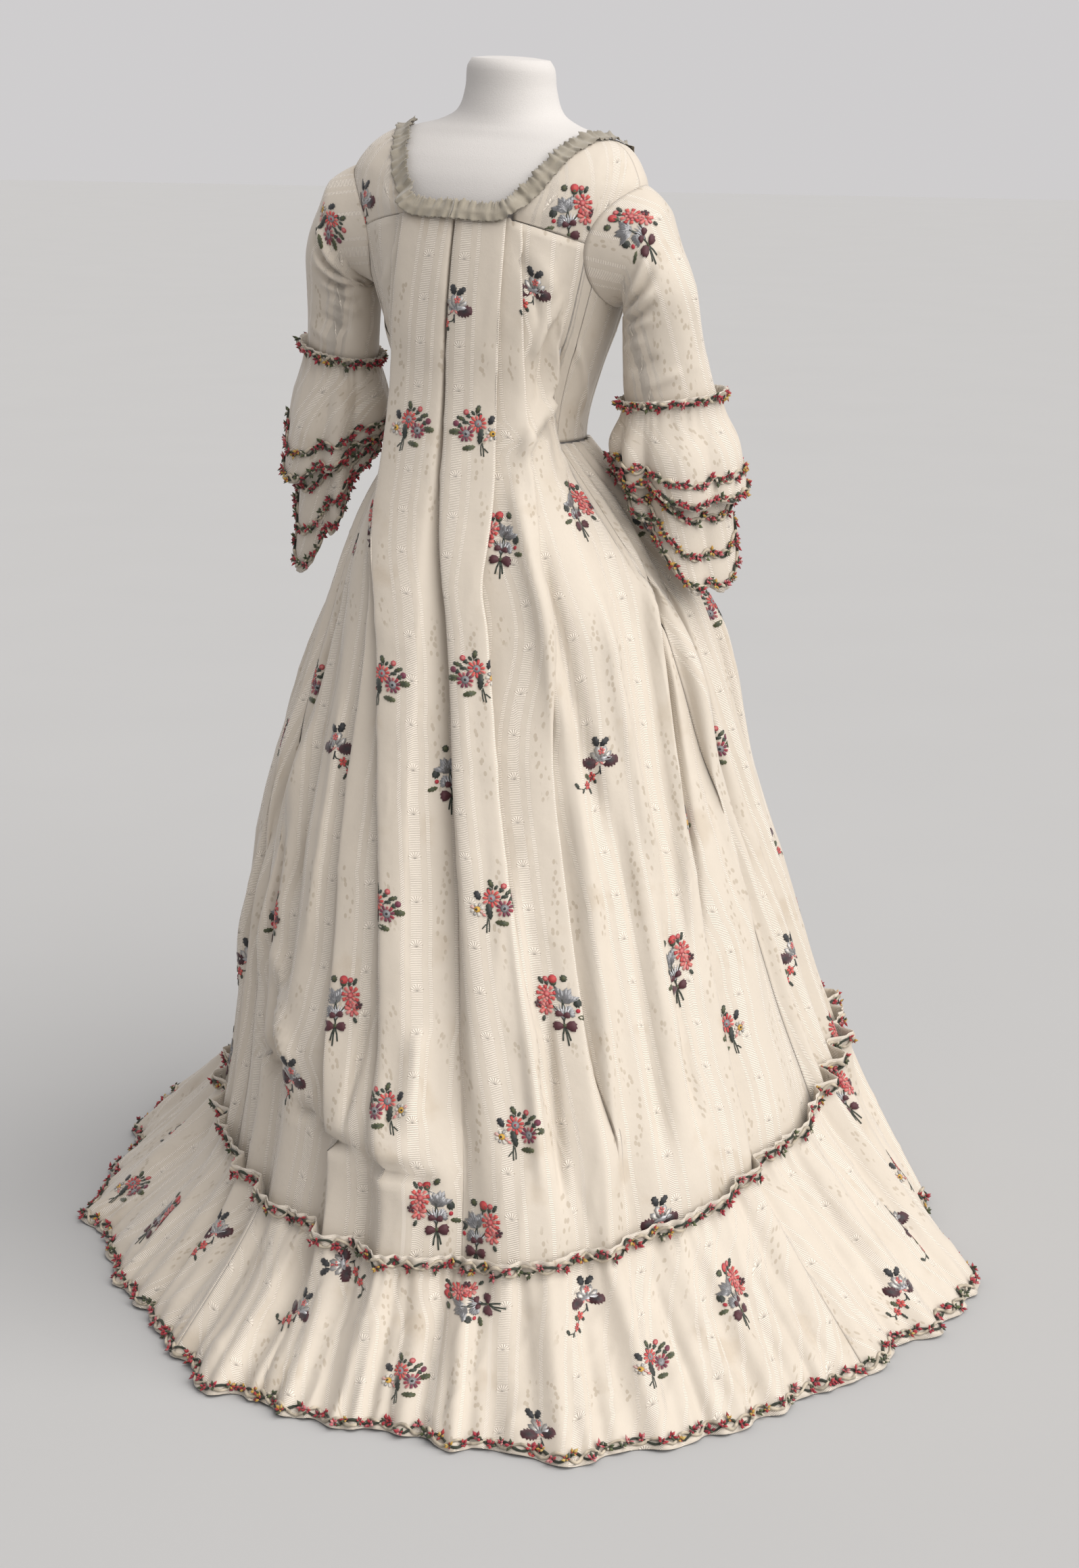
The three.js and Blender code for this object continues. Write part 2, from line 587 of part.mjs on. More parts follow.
// A point on the sleeve: t runs from 0 at the armhole to SLEEVE_END, out moves it off the sleeve's surface.
function sleevePoint(side, turn, t, out) {
  const section = (key) => along(SLEEVE, "t", key, t);
  const tilt = section("outAngle") * RAD;
  const forward = section("forward") * RAD;
  const sideways = new THREE.Vector3(Math.cos(forward), -Math.sin(forward), 0);
  const longAxis = sideways.multiplyScalar(Math.cos(tilt)).setZ(Math.sin(tilt));
  const across = new THREE.Vector3(Math.sin(forward), Math.cos(forward), 0);
  const p = new THREE.Vector3(section("x"), section("y"), section("z"));
  p.addScaledVector(longAxis, (section("long") + out) * Math.cos(turn * RAD));
  p.addScaledVector(across, (section("short") + out) * Math.sin(turn * RAD));
  if (t < 1) p.lerp(armholePoint(turn), 1 - t);
  p.x *= side;
  if (side > 0) p.z += LEFT_SLEEVE_RAISE * ease((t - 1) / (SLEEVE_END - 1));
  return leanBy(p, 1);
}

const SLEEVE_COLUMNS = 20;
const turns = (count) => steps(count - 1).map((i) => (i * 360) / count);
const SLEEVE_ROWS = [0, 0.45, ...steps(SLEEVE_END).slice(1)];
const sleeve = (side) =>
  wall((turn, t) => sleevePoint(side, turn, t, 0), turns(SLEEVE_COLUMNS), SLEEVE_ROWS, true);

// A gathered flounce hanging from the sleeve's end.
const CUFF_ROWS = [0, 0.09, 0.36, 1];
const CUFF_GATHER = 1.2; // swing of the waves where they are gathered
const CUFF_LAYER = 0.5; // between the two layers
function cuff(side, row, layer) {
  const hang = side > 0 ? CUFF_HANG.left : CUFF_HANG.right;
  const topOut = CLOTH + SEAM + 0.5 + layer * (CLOTH + CUFF_LAYER);
  const point = (turn, v) => {
    const down = between(CUFF_ROWS, v);
    const toLongest = ((1 + Math.cos((turn - hang.longest) * RAD)) / 2) ** 2;
    const drop = mix(row.least, row.drop + hang.extra, toLongest);
    const wave = (1 + Math.sin(turn * RAD * row.waves)) / 2;
    const above = clamp01(1 - down / CUFF_ROWS[1]);
    const swing = CUFF_GATHER + row.swing * ease(down * 2);
    const out = topOut + row.flare * ease(down * 1.6) + swing * wave + 0.25 * row.frill * above;
    const p = sleevePoint(side, turn, SLEEVE_END, out);
    p.x += side * CUFF_PUSH * (drop / row.drop) * down ** 2;
    p.z += row.frill * above - drop * down;
    return p;
  };
  return wall(point, turns(row.waves * 4), steps(CUFF_ROWS.length - 1), true);
}

// ---- Trims --------------------------------------------------------------------------------------
// The gathered gauze round the neckline, one half from centre back to centre front: a row below the edge,
// one on it and one above. Over the box pleats it stands off and leans back to the form.
const RUFFLE = { waves: 24, from: 0.15, to: 178.2, thickness: 1.2, clear: 1, pleats: 18, pleatsEnd: 21 };
const RUFFLE_ROWS = named("rise flare onPleats", [
  [-9, 2.2, 1],
  [1, 0.3, 0.96],
  [14, 2.6, 0.4],
]);
// Angles at even lengths along the neckline.
function necklineAngles(count) {
  const angles = evenly(RUFFLE.from, RUFFLE.to, 360);
  const points = angles.map((angle) => figurePoint(angle, neckline(angle), 0));
  const lengths = [0];
  for (let i = 1; i < points.length; i += 1) {
    lengths.push(lengths[i - 1] + points[i].distanceTo(points[i - 1]));
  }
  const table = angles.map((angle, i) => ({ angle, length: lengths[i] }));
  const stops = evenly(0, lengths[lengths.length - 1], count);
  return stops.map((length) => along(table, "length", "angle", length));
}

const ruffleAngles = necklineAngles(RUFFLE.waves * 2);
function neckRuffle(side) {
  const columns = RUFFLE.waves * 2;
  const angleOf = (u) => between(ruffleAngles, u);
  const edge = (u, out) => figurePoint(side * angleOf(u), neckline(angleOf(u)), out);
  const point = (u, v) => {
    const at = (key) => between(RUFFLE_ROWS.map((row) => row[key]), v);
    const off = bodiceEase(neckline(angleOf(u))) + CLOTH + RUFFLE.clear;
    const onPleats = RUFFLE.pleats * (1 - ease((angleOf(u) - RUFFLE.pleatsEnd) / 4));
    const base = edge(u, off);
    const normal = edge(u, off + 1).sub(base).normalize();
    const up = edge(u + 0.2, off).sub(edge(u - 0.2, off)).cross(normal).normalize().multiplyScalar(side);
    const flare = at("flare") * (1 + Math.cos(Math.PI * u)) + onPleats * at("onPleats");
    return base.addScaledVector(up, at("rise")).addScaledVector(normal, flare);
  };
  return wall(point, steps(columns), steps(RUFFLE_ROWS.length - 1), false, RUFFLE.thickness);
}

// A panel's lift at an angle and height, between its knots.
function liftAt(knots, angle, z) {
  const rows = knots.map((row) => ({ a: knotAt(row, "a", z), l: knotAt(row, "l", z) }));
  const rising = rows.filter((row, i) => rows.slice(0, i).every((other) => other.a < row.a - 0.2));
  return along(rising, "a", "l", angle);
}

// The skirt's lift at a ring angle and height, where the flounce is sewn on.
function skirtLift(angle, z) {
  const reaches = (knots) => Math.abs(angle) <= knots[knots.length - 1].aH + 0.1;
  if (reaches(backKnots)) return liftAt(backKnots, angle, z);
  return liftAt(reaches(SIDE_FOLDS) ? SIDE_FOLDS : FRONT_FOLDS, Math.abs(angle), z);
}

// A stretch of the hem flounce between two ring angles: a frill above the gathers, then down to the floor.
const FLOUNCE_ROWS = [-1, 0, 0.2, 0.6, 1];
const FLOUNCE_END = 0.04; // degrees, half of a seam's gap
function flounce(from, to) {
  const waveAngle = 360 / FLOUNCE.waves;
  const columns = Math.round((to - from) / waveAngle) * 3;
  const point = (u, v) => {
    const down = between(FLOUNCE_ROWS, v);
    const angle = mix(from + FLOUNCE_END, to - FLOUNCE_END, u / columns);
    const ringAngle = angle > 180 ? angle - 360 : angle;
    const z = headerHeight(ringAngle);
    const shape = Math.sin((angle / waveAngle) * 2 * Math.PI);
    const off = CLOTH + FLOUNCE.clear + FLOUNCE.gatherSwing * (1 + shape);
    const at = (height, out) => gownPoint(ringAngle, height, skirtLift(ringAngle, height) + out);
    const gather = at(z, off);
    if (down < 0) return gather.lerp(at(z + FLOUNCE.frill, off + FLOUNCE.frillOut), -down);
    const world = Math.atan2(gather.x, gather.y) / RAD;
    const reach = along(HEM, "a", "out", world) + FLOUNCE.hemSwing * shape;
    const hem = new THREE.Vector3(Math.sin(world * RAD), Math.cos(world * RAD), 0);
    hem.multiplyScalar(reach).setZ(FLOUNCE.hemHeight);
    const p = gather.lerp(hem, down);
    p.z -= FLOUNCE.sag * Math.sin(Math.PI * clamp01(down)) * (1 - down);
    return p;
  };
  return wall(point, steps(columns), steps(FLOUNCE_ROWS.length - 1));
}

// ---- Dress form and stand -----------------------------------------------------------------------
const FORM_COLUMNS = 28;
const FORM_CAP = { y: -40, z: 1479 };
function form() {
  const heights = [FORM_BOTTOM, ...FIGURE.map((row) => row.z).filter((z) => z > FORM_BOTTOM)];
  const points = heights.flatMap((z) => turns(FORM_COLUMNS).map((angle) => figurePoint(angle, z, 0)));
  const top = heights.length - 1;
  points.push(new THREE.Vector3(0, 0, FORM_BOTTOM), new THREE.Vector3(0, FORM_CAP.y, FORM_CAP.z));
  const [under, cap] = [points.length - 2, points.length - 1];
  const faces = [];
  for (let i = 0; i < FORM_COLUMNS; i += 1) {
    const next = (i + 1) % FORM_COLUMNS;
    for (let j = 0; j < top; j += 1) {
      const [a, b] = [j * FORM_COLUMNS + i, j * FORM_COLUMNS + next];
      faces.push(a, b, b + FORM_COLUMNS, a, b + FORM_COLUMNS, a + FORM_COLUMNS);
    }
    faces.push(under, next, i, cap, top * FORM_COLUMNS + i, top * FORM_COLUMNS + next);
  }
  return solid(points, faces);
}

function stand() {
  const profile = [
    [0, 0],
    [FOOT_RADIUS, 0],
    [FOOT_RADIUS, 8],
    [FOOT_RADIUS - 6, 12],
    [30, 16],
    [POLE_RADIUS, 34],
    [POLE_RADIUS, FORM_BOTTOM - SEAM],
    [0, FORM_BOTTOM - SEAM],
  ];
  const lathe = new THREE.LatheGeometry(profile.map(([x, y]) => new THREE.Vector2(x, y)), FORM_COLUMNS);
  return lathe.rotateX(Math.PI / 2);
}

// ---- Assembly -----------------------------------------------------------------------------------
const finish = (color, roughness, metalness) => () =>
  new THREE.MeshStandardMaterial({ color, roughness, metalness });
const silk = finish(0xd9cdb9, 0.55, 0);
const gauze = finish(0x9d917b, 0.9, 0);
const jersey = finish(0xe4e0da, 0.9, 0);
const paintedMetal = finish(0x2c2b2a, 0.45, 0.6);

const gown = new THREE.Group();
const add = (name, geometry, material) => {
  const mesh = new THREE.Mesh(geometry, material);
  mesh.name = name;
  gown.add(mesh);
};

add("dress_form", form(), jersey());
add("stand", stand(), paintedMetal());
add("pleated_back", pleatedBack(), silk());
for (const [word, side] of [["left", 1], ["right", -1]]) {
  add(`side_skirt_${word}`, sideSkirt(side), silk());
  add(`front_skirt_${word}`, frontSkirt(side), silk());
  add(`back_yoke_${word}`, backYoke(side), silk());
  add(`shoulder_strap_${word}`, shoulderStrap(side), silk());
  add(`side_body_${word}`, sideBody(side), silk());
  add(`bodice_front_${word}`, bodiceFront(side), silk());
  add(`sleeve_${word}`, sleeve(side), silk());
  CUFFS.forEach((row, i) => add(`cuff_${row.name}_${word}`, cuff(side, row, 1 - i), silk()));
  add(`neck_ruffle_${word}`, neckRuffle(side), gauze());
}
add("hem_flounce_back", flounce(-45, 45), silk());
add("hem_flounce_left", flounce(45, 135), silk());
add("hem_flounce_right", flounce(-135, -45), silk());
add("hem_flounce_front", flounce(135, 225), silk());

export default gown;
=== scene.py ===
"""The looks of a sack-back gown on its limbless dress form.

The gown's front faces -Y, its pleated back and train +Y, and the wearer's left is +X. The tables hold
millimetres and degrees, as a pattern does; a mesh is in metres. Angles run from centre back towards the
wearer's left. Each piece of cloth is a grid of points whose rows run down the cloth.
"""

import math

import bpy
import mathutils
import numpy as np
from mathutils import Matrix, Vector


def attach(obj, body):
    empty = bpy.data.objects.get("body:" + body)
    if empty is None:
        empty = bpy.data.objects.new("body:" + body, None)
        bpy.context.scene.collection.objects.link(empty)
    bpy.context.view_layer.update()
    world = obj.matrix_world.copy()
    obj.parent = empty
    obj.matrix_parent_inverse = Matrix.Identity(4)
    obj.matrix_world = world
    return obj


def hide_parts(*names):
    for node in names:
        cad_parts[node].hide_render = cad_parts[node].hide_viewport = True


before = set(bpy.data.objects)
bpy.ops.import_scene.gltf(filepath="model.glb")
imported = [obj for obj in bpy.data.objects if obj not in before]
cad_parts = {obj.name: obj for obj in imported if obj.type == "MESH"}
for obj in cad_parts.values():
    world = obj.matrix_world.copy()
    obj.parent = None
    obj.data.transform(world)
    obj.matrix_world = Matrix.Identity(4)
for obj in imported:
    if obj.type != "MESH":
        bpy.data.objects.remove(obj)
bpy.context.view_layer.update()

MM = 0.001
RAD = math.pi / 180
CLOTH = 0.8  # thickness of silk with its lining
GAUZE_THICKNESS = 0.4
SEAM = 0.3
NECKLINE_BACK = 1297
WAIST = 1020
HIP = 860
KNEE = 560
HEM_LEVEL = 180
FORM_EASE = 4.2
SHOULDER_EASE = 2.6
SEAM_ANGLE = 62
LEAN = 3
FORM_BOTTOM = 824
SKIRT_TOP = WAIST - 1.6
SIDES = {"left": 1, "right": -1}
REPEAT = 0.096  # width of the woven stripes' repeat, in metres


# ---- Tables ----------------------------------------------------------------------------------------
def named(columns, rows):
    """The rows of a table as dictionaries."""
    keys = columns.split()
    return [dict(zip(keys, row)) for row in rows]


FIGURE = named("z half back front shift", [
    (822, 172, 120, 122, 0),
    (880, 168, 118, 120, 0),
    (930, 148, 106, 112, 0),
    (975, 122, 90, 100, 0),
    (1020, 109, 82, 92, 0),
    (1060, 114, 85, 97, 0),
    (1110, 128, 92, 110, 0),
    (1160, 146, 99, 124, 0),
    (1210, 163, 104, 128, 0),
    (1255, 177, 105, 118, 0),
    (1300, 188, 101, 102, 0),
    (1335, 190, 93, 88, -6),
    (1358, 180, 84, 77, -14),
    (1374, 164, 77, 69, -24),
    (1384, 146, 72, 63, -31),
    (1392, 122, 68, 59, -34),
    (1400, 92, 64, 57, -37),
    (1413, 68, 60, 56, -39),
    (1440, 57, 55, 55, -40),
    (1466, 54, 54, 54, -40),
    (1476, 48, 48, 48, -40),
])
RINGS = named("z left right back front twist", [
    (1020, 113, 113, 86, 96, 0),
    (990, 136, 140, 110, 112, -2),
    (945, 163, 178, 148, 150, -5),
    (880, 190, 222, 190, 195, -9),
    (830, 206, 250, 218, 222, -12),
    (740, 236, 280, 258, 252, -15),
    (650, 264, 303, 298, 276, -17),
    (550, 292, 333, 345, 300, -19),
    (450, 308, 366, 392, 322, -20),
    (330, 322, 402, 446, 346, -21),
    (230, 334, 436, 494, 364, -22),
    (130, 352, 468, 536, 384, -22),
    (40, 372, 496, 574, 400, -22),
])
BULGE = named("z out", [
    (300, 0), (560, 6), (800, 22), (1020, 40), (1120, 30), (1220, 12), (1297, 1), (1400, 0),
])
BULGE_END = 52

# Fold edges of the pleated back, from centre back outwards: angle a and lift l at the neckline (T),
# waist (W), hip (U), knee (K) and hem (H). The two sides hang differently.
LEFT_PLEATS = named("aT lT aW lW aU lU aK lK aH lH", [
    (0.0, 1, 2.2, 1, 0.9, -4, 1.4, -8, 1.8, -6),
    (0.5, 5, 2.7, 5, 3.2, 3, 5.5, -2, 5, 0),
    (0.9, 12, 3.5, 14, 6.4, 14, 11.4, 14, 9, 8),
    (5.0, 14, 8.0, 17, 8.8, 19, 12.8, 19, 12, 15),
    (13.0, 14, 19.0, 18, 14.5, 22, 15.0, 22, 14, 18),
    (20.2, 14, 30.5, 19, 21.3, 23, 17.6, 23, 16, 20),
    (20.8, 12, 31.1, 16, 21.9, 19, 18.2, 18, 17.4, 15),
    (20.2, 10.2, 30.2, 13, 21.2, 14, 17.7, 12.5, 18.6, 8),
    (17.8, 9.8, 27.4, 12, 19.4, 12, 16.2, 9.5, 19.8, 2),
    (17.3, 8.1, 26.8, 9.8, 18.9, 9.5, 15.9, 6.5, 21, -2),
    (17.8, 6.4, 27.4, 7.4, 19.4, 7, 16.4, 4, 22.2, -2),
    (21.2, 6, 33.0, 8.5, 22.6, 8.6, 22.5, 8, 24.5, 7),
    (24.3, 5.6, 37.6, 10, 25.4, 12.5, 28.6, 15, 28, 17),
    (24.9, 4.2, 38.2, 7.6, 26.0, 9.5, 29.3, 11, 29, 13),
    (24.3, 2.9, 37.4, 5.4, 25.4, 6.4, 28.7, 6, 30, 5),
    (22.7, 2.9, 35.6, 4.4, 24.0, 4.4, 27.2, 3, 31.2, -3),
    (22.2, 1.5, 35.1, 2.2, 23.5, 1.8, 26.8, 0, 32.4, -6),
    (22.8, 0, 35.7, 0, 24.1, -1, 27.5, -3, 34, -5),
    (29.0, 0, 41.0, 3, 31.0, 3, 34.0, 3, 38, 6),
    (38.0, 0, 45.0, 7, 39.0, 9, 40.0, 14, 43.5, 15),
    (45.5, 0, 49.0, 1, 45.0, 0, 46.0, -3, 49, -5),
    (52.0, 0, 53.0, 3, 50.5, 7, 50.5, 10, 54, 12),
    (56.5, 0, 57.0, 1, 55.0, 0, 55.0, -4, 58, -4),
    (59.5, 0, 59.7, 0, 59.0, 2, 59.0, 5, 62, 5),
    (61.9, 0, 61.9, 0, None, None, 62.9, 0, 65.9, 0),
])
RIGHT_PLEATS = named("aT lT aW lW aU lU aK lK aH lH", [
    (0.0, 1, -2.2, 1, -0.9, -4, -1.4, -8, -1.8, -6),
    (0.5, 5, -1.8, 6, -0.6, 6, -1.1, 6, 0.4, 2),
    (0.9, 12, -1.2, 15, -0.1, 17, -0.5, 20, 2.6, 13),
    (4.0, 14, 2.5, 18, 2.0, 21, 1.6, 24, 5, 19),
    (12.0, 14, 13.0, 18, 5.5, 22, 4.6, 22, 8, 20),
    (18.8, 14, 22.3, 18, 9.6, 22, 7.8, 22, 10.8, 20),
    (19.4, 12, 22.9, 15.5, 10.1, 18, 8.3, 17, 12.4, 17),
    (18.8, 10.2, 22.1, 13, 9.5, 14, 7.8, 12, 13.6, 13),
    (16.6, 9.8, 19.4, 12, 7.9, 12, 6.6, 9.5, 14.8, 10),
    (16.1, 8.1, 18.8, 9.8, 7.5, 9.5, 6.3, 6.5, 15.8, 9),
    (16.6, 6.4, 19.4, 7.4, 7.9, 7, 6.7, 4, 16.7, 9),
    (20.6, 6, 28.5, 9, 15.0, 9, 12.5, 9, 17.8, 12),
    (24.3, 5.6, 35.6, 11, 23.6, 13, 18.6, 15.5, 19.4, 17),
    (24.9, 4.2, 36.2, 8.5, 24.2, 10, 19.3, 12, 20.4, 13),
    (24.2, 2.9, 35.4, 6, 23.5, 6.5, 18.8, 7.5, 21.4, 7),
    (22.4, 2.9, 33.4, 4.8, 21.9, 4.6, 17.4, 5, 22.4, 1),
    (21.9, 1.5, 32.9, 2.4, 21.4, 1.8, 17.0, 2.5, 23.4, -2),
    (22.5, 0, 33.5, 0.2, 22.0, -1, 17.7, 0, 24.5, -2),
    (29.0, 0, 40.0, 4, 31.0, 4, 27.0, 3, 29, 6),
    (38.0, 0, 45.0, 8, 40.0, 10, 36.0, 13, 36, 14),
    (45.5, 0, 49.5, 1, 48.0, 2, 42.5, 4, 41, 5),
    (53.0, 0, 54.5, 3, 57.5, 6, 49.2, 9, 44.5, 9),
    (57.6, 0, 58.2, 0, 60.0, 1, 50.4, -4, 46, -6),
    (59.6, 0, 60.0, 0, 61.2, 0.5, 56.0, 7, 55, 13),
    (61.9, 0, 61.9, 0, None, None, 62.9, 0, 65.9, 0),
])
SIDE_FOLDS = named("aW lW aK lK aH lH", [
    (62.1, 0, 63.1, 0, 66.1, 0),
    (65.5, 4, 66.0, 12, 68.5, 15),
    (69.0, 0, 69.5, -4, 71.5, -6),
    (73.0, 5, 74.0, 9, 75.5, 16),
    (77.0, 0, 78.0, -6, 79.0, -9),
    (81.5, 5, 82.5, 12, 83.0, 18),
    (86.0, 0, 87.0, -3, 87.0, -4),
    (90.5, 5, 91.5, 8, 92.0, 13),
    (95.0, 0, 96.0, -6, 96.0, -9),
    (99.5, 5, 100.5, 11, 101.0, 15),
    (104.0, 0, 105.0, -4, 105.0, -6),
    (109.0, 4, 110.0, 9, 110.0, 12),
    (113.5, 0, 114.0, -3, 114.5, -5),
    (117.9, 0, 117.9, 0, 117.9, 0),
])
FRONT_FOLDS = named("aW lW aK lK aH lH", [
    (118.1, 0, 118.1, 0, 118.1, 0),
    (122.0, 5, 122.5, 10, 123.0, 14),
    (126.5, 0, 127.0, -4, 127.5, -7),
    (132.0, 5, 132.5, 9, 133.0, 13),
    (138.0, 0, 138.0, -4, 139.0, -6),
    (144.0, 4, 145.0, 8, 146.0, 12),
    (151.0, 0, 152.0, -3, 153.0, -5),
    (159.0, 3, 160.0, 6, 160.5, 9),
    (168.0, 0, 169.0, -1, 169.0, -2),
    (175.0, 1, 175.0, 2, 175.0, 3),
    (179.93, 1, 179.96, 2, 179.97, 3),
])
SWELLS = named("a z wide tall out", [
    (34, 340, 9, 70, 18),
    (20, 272, 8, 52, 24),
    (7, 232, 7, 40, 12),
    (-52, 900, 12, 60, 8),
])
NECKLINE = named("a z", [
    (0, 1297), (14, 1297), (18, 1299.5), (21.5, 1306), (25, 1318), (29, 1334), (36, 1358.5),
    (45, 1374.5), (60, 1384.5), (78, 1387.5), (92, 1385), (104, 1379.5), (112, 1374.5), (122, 1369),
    (132, 1361), (140, 1352), (146, 1334), (152, 1305), (158, 1275), (165, 1248), (172, 1232),
    (180, 1225),
])
ARMHOLE = {"angle": 91, "height": 1270, "back": 37, "front": 30, "up": 66, "down": 74}
HEADER = named("a z", [
    (-180, 262), (-140, 258), (-100, 246), (-75, 232), (-50, 190), (-25, 142), (0, 126), (25, 130),
    (50, 142), (75, 158), (100, 182), (140, 240), (180, 262),
])
HEM = named("a out", [
    (-180, 545), (-150, 556), (-122, 545), (-110, 562), (-99, 592), (-90, 648), (-82, 679), (-70, 676),
    (-56, 708), (-45, 730), (-32, 758), (-20, 712), (-8, 684), (4, 664), (14, 610), (26, 560), (42, 543),
    (56, 546), (70, 532), (84, 542), (100, 612), (112, 622), (130, 586), (155, 556), (180, 545),
])
FLOUNCE = {"waves": 56, "frill": 22, "frill_out": 9, "gather": 3.6, "hem": 15, "clear": 2.6, "sag": 10}
SLEEVE = named("t x y z out_angle forward long short", [
    (1, 203, 0, 1262, 68, 0, 67, 61),
    (2, 213, 0, 1236, 50, 4, 58, 58),
    (3, 217, -1, 1209, 26, 12, 49, 53),
    (4, 218, -3, 1181, 12, 20, 47, 46),
    (5, 220, -6, 1148, 8, 27, 49, 43),
    (6, 224, -10, 1112, 8, 33, 53, 41),
    (7, 229, -14, 1080, 8, 37, 57, 40),
])
SLEEVE_END = 7
LEFT_SLEEVE_RAISE = 16
CUFFS = {
    "upper": {"drop": 128, "least": 76, "frill": 13, "flare": 11, "swing": 9, "waves": 6, "layer": 1},
    "lower": {"drop": 246, "least": 86, "frill": 0, "flare": 3, "swing": 8, "waves": 6, "layer": 0},
}
CUFF_HANG = {1: {"longest": 95, "extra": 32}, -1: {"longest": 58, "extra": 0}}
CUFF_PUSH = 15


# ---- Small helpers ---------------------------------------------------------------------------------
def column(table, key):
    return np.array([row[key] for row in table], float)


def mix(a, b, t):
    return a + (b - a) * t


def ease(t):
    t = np.clip(t, 0, 1)
    return t * t * (3 - 2 * t)


def hermite(start, start_slope, end, end_slope, t):
    share = (3 - 2 * t) * t * t
    return (1 - share) * start + (t - 1) ** 2 * t * start_slope + share * end + (t - 1) * t * t * end_slope


def curve(x, y, at):
    """Smooth value of y over x, without overshoot."""
    if x[-1] < x[0]:
        x, y = x[::-1], y[::-1]
    at = np.clip(at, x[0], x[-1])
    last = len(x) - 1
    i = np.clip(np.searchsorted(x, at, side="left") - 1, 0, last - 1)
    before, after = np.maximum(i - 1, 0), np.minimum(i + 2, last)
    width, rise = x[i + 1] - x[i], y[i + 1] - y[i]
    sign = np.sign(rise)
    slopes = [
        (y[i + 1] - y[before]) / (x[i + 1] - x[before]) * width,
        (y[after] - y[i]) / (x[after] - x[i]) * width,
    ]
    first, second = (sign * np.clip(m * sign, 0, 3 * np.abs(rise)) for m in slopes)
    return hermite(y[i], first, y[i + 1], second, (at - x[i]) / width)


def along(table, key, value, at):
    return curve(column(table, key), column(table, value), at)


def unit(v):
    return v / np.maximum(np.linalg.norm(v, axis=-1, keepdims=True), 1e-12)


def stack(*parts):
    return np.stack(np.broadcast_arrays(*parts), axis=-1)


# ---- The gown's surfaces ---------------------------------------------------------------------------
def on_ellipse(angle, left, right, back, front, out):
    s, c = np.sin(angle * RAD), np.cos(angle * RAD)
    rx, ry = np.where(s > 0, left, right), np.where(c > 0, back, front)
    n = unit(stack(s / rx, c / ry))
    return rx * s + n[..., 0] * out, ry * c + n[..., 1] * out


def figure_skin(angle, z):
    half, back, front, shift = (along(FIGURE, "z", key, z) for key in ("half", "back", "front", "shift"))
    x, y = on_ellipse(angle, half, half, back, front, 0)
    return stack(x, y + shift, z)


def figure_upright(angle, z, out):
    """The form's surface before it leans, moved out along its normal."""
    up = figure_skin(angle, z + 2) - figure_skin(angle, z - 2)
    across = figure_skin(angle + 1, z) - figure_skin(angle - 1, z)
    return figure_skin(angle, z) + unit(np.cross(up, across)) * np.expand_dims(out, -1)


def lean(points, share):
    """The form stands a little askew, its left shoulder higher."""
    points = points.copy()
    points[..., 2] += points[..., 0] * math.tan(LEAN * RAD) * share
    return points


def leaned(points):
    return lean(points, ease((points[..., 2] - WAIST) / 170))


def figure(angle, z, out):
    angle, z, out = np.broadcast_arrays(*(np.asarray(v, float) for v in (angle, z, out)))
    return leaned(figure_upright(angle, z, out))


def bodice_ease(z):
    return mix(FORM_EASE, SHOULDER_EASE, ease((z - 1325) / 35))


def armhole_edge(angle, up):
    reach = np.where(angle < ARMHOLE["angle"], ARMHOLE["back"], ARMHOLE["front"])
    t = (angle - ARMHOLE["angle"]) / reach
    return ARMHOLE["height"] + (ARMHOLE["up"] if up else -ARMHOLE["down"]) * np.sqrt(np.maximum(0, 1 - t * t))


def swell(angle, z):
    total = 0
    for row in SWELLS:
        across, up = (angle - row["a"]) / row["wide"], (z - row["z"]) / row["tall"]
        total = total + row["out"] * np.exp(-across ** 2 - up ** 2)
    return total


def gown(angle, z, lift):
    """The gown's surface at a ring angle, height and lift off its rings."""
    angle, z, lift = np.broadcast_arrays(*(np.asarray(v, float) for v in (angle, z, lift)))
    free = along(BULGE, "z", "out", z) * ease((BULGE_END - np.abs(angle)) / 22)
    above = figure_upright(angle, np.maximum(z, WAIST), bodice_ease(z) + lift + free)
    above[..., 2] = z
    *radii, twist = (along(RINGS, "z", key, z) for key in ("left", "right", "back", "front", "twist"))
    x, y = on_ellipse(angle, *radii, lift + free + swell(angle, z))
    c, s = np.cos(-twist * RAD), np.sin(-twist * RAD)
    below = stack(x * c - y * s, x * s + y * c, z)
    return np.where(z[..., None] >= WAIST, leaned(above), below)


def header_height(angle):
    return along(HEADER, "a", "z", angle)


def knot_at(row, letter, z):
    """A knot's angle or lift at a height, from the levels that its row gives."""
    heights = {"T": NECKLINE_BACK, "W": WAIST, "U": HIP, "K": KNEE, "H": HEM_LEVEL}
    values = {level: row.get(letter + level) for level in heights}
    if values["T"] is None:
        values["T"] = row[letter + "W"]
    given = [(heights[level], value) for level, value in values.items() if value is not None]
    return curve(*np.array(given, float).T, z)


def section(knots, k, z):
    """A knot table's angle and lift at places between its rows; the cloth runs on level past its seams."""
    last = len(knots) - 1
    found = {letter: np.stack([knot_at(row, letter, z) for row in knots]) for letter in "al"}
    i = np.clip(np.floor(k).astype(int), 0, last - 1)
    i, t = np.broadcast_to(i, z.shape), np.broadcast_to(k, z.shape) - i

    def at(letter, n):
        inside = np.where(n < 0, -n, np.where(n > last, 2 * last - n, n))
        value = np.take_along_axis(found[letter], inside[None], axis=0)[0]
        if letter == "l":
            return value
        edge = np.take_along_axis(found[letter], np.clip(n, 0, last)[None], axis=0)[0]
        return np.where(inside == n, value, 2 * edge - value)

    result = []
    for letter in "al":
        p = [at(letter, i + step) for step in (-1, 0, 1, 2)]
        result.append(hermite(p[1], (p[2] - p[0]) / 2, p[2], (p[3] - p[1]) / 2, t))
    return result


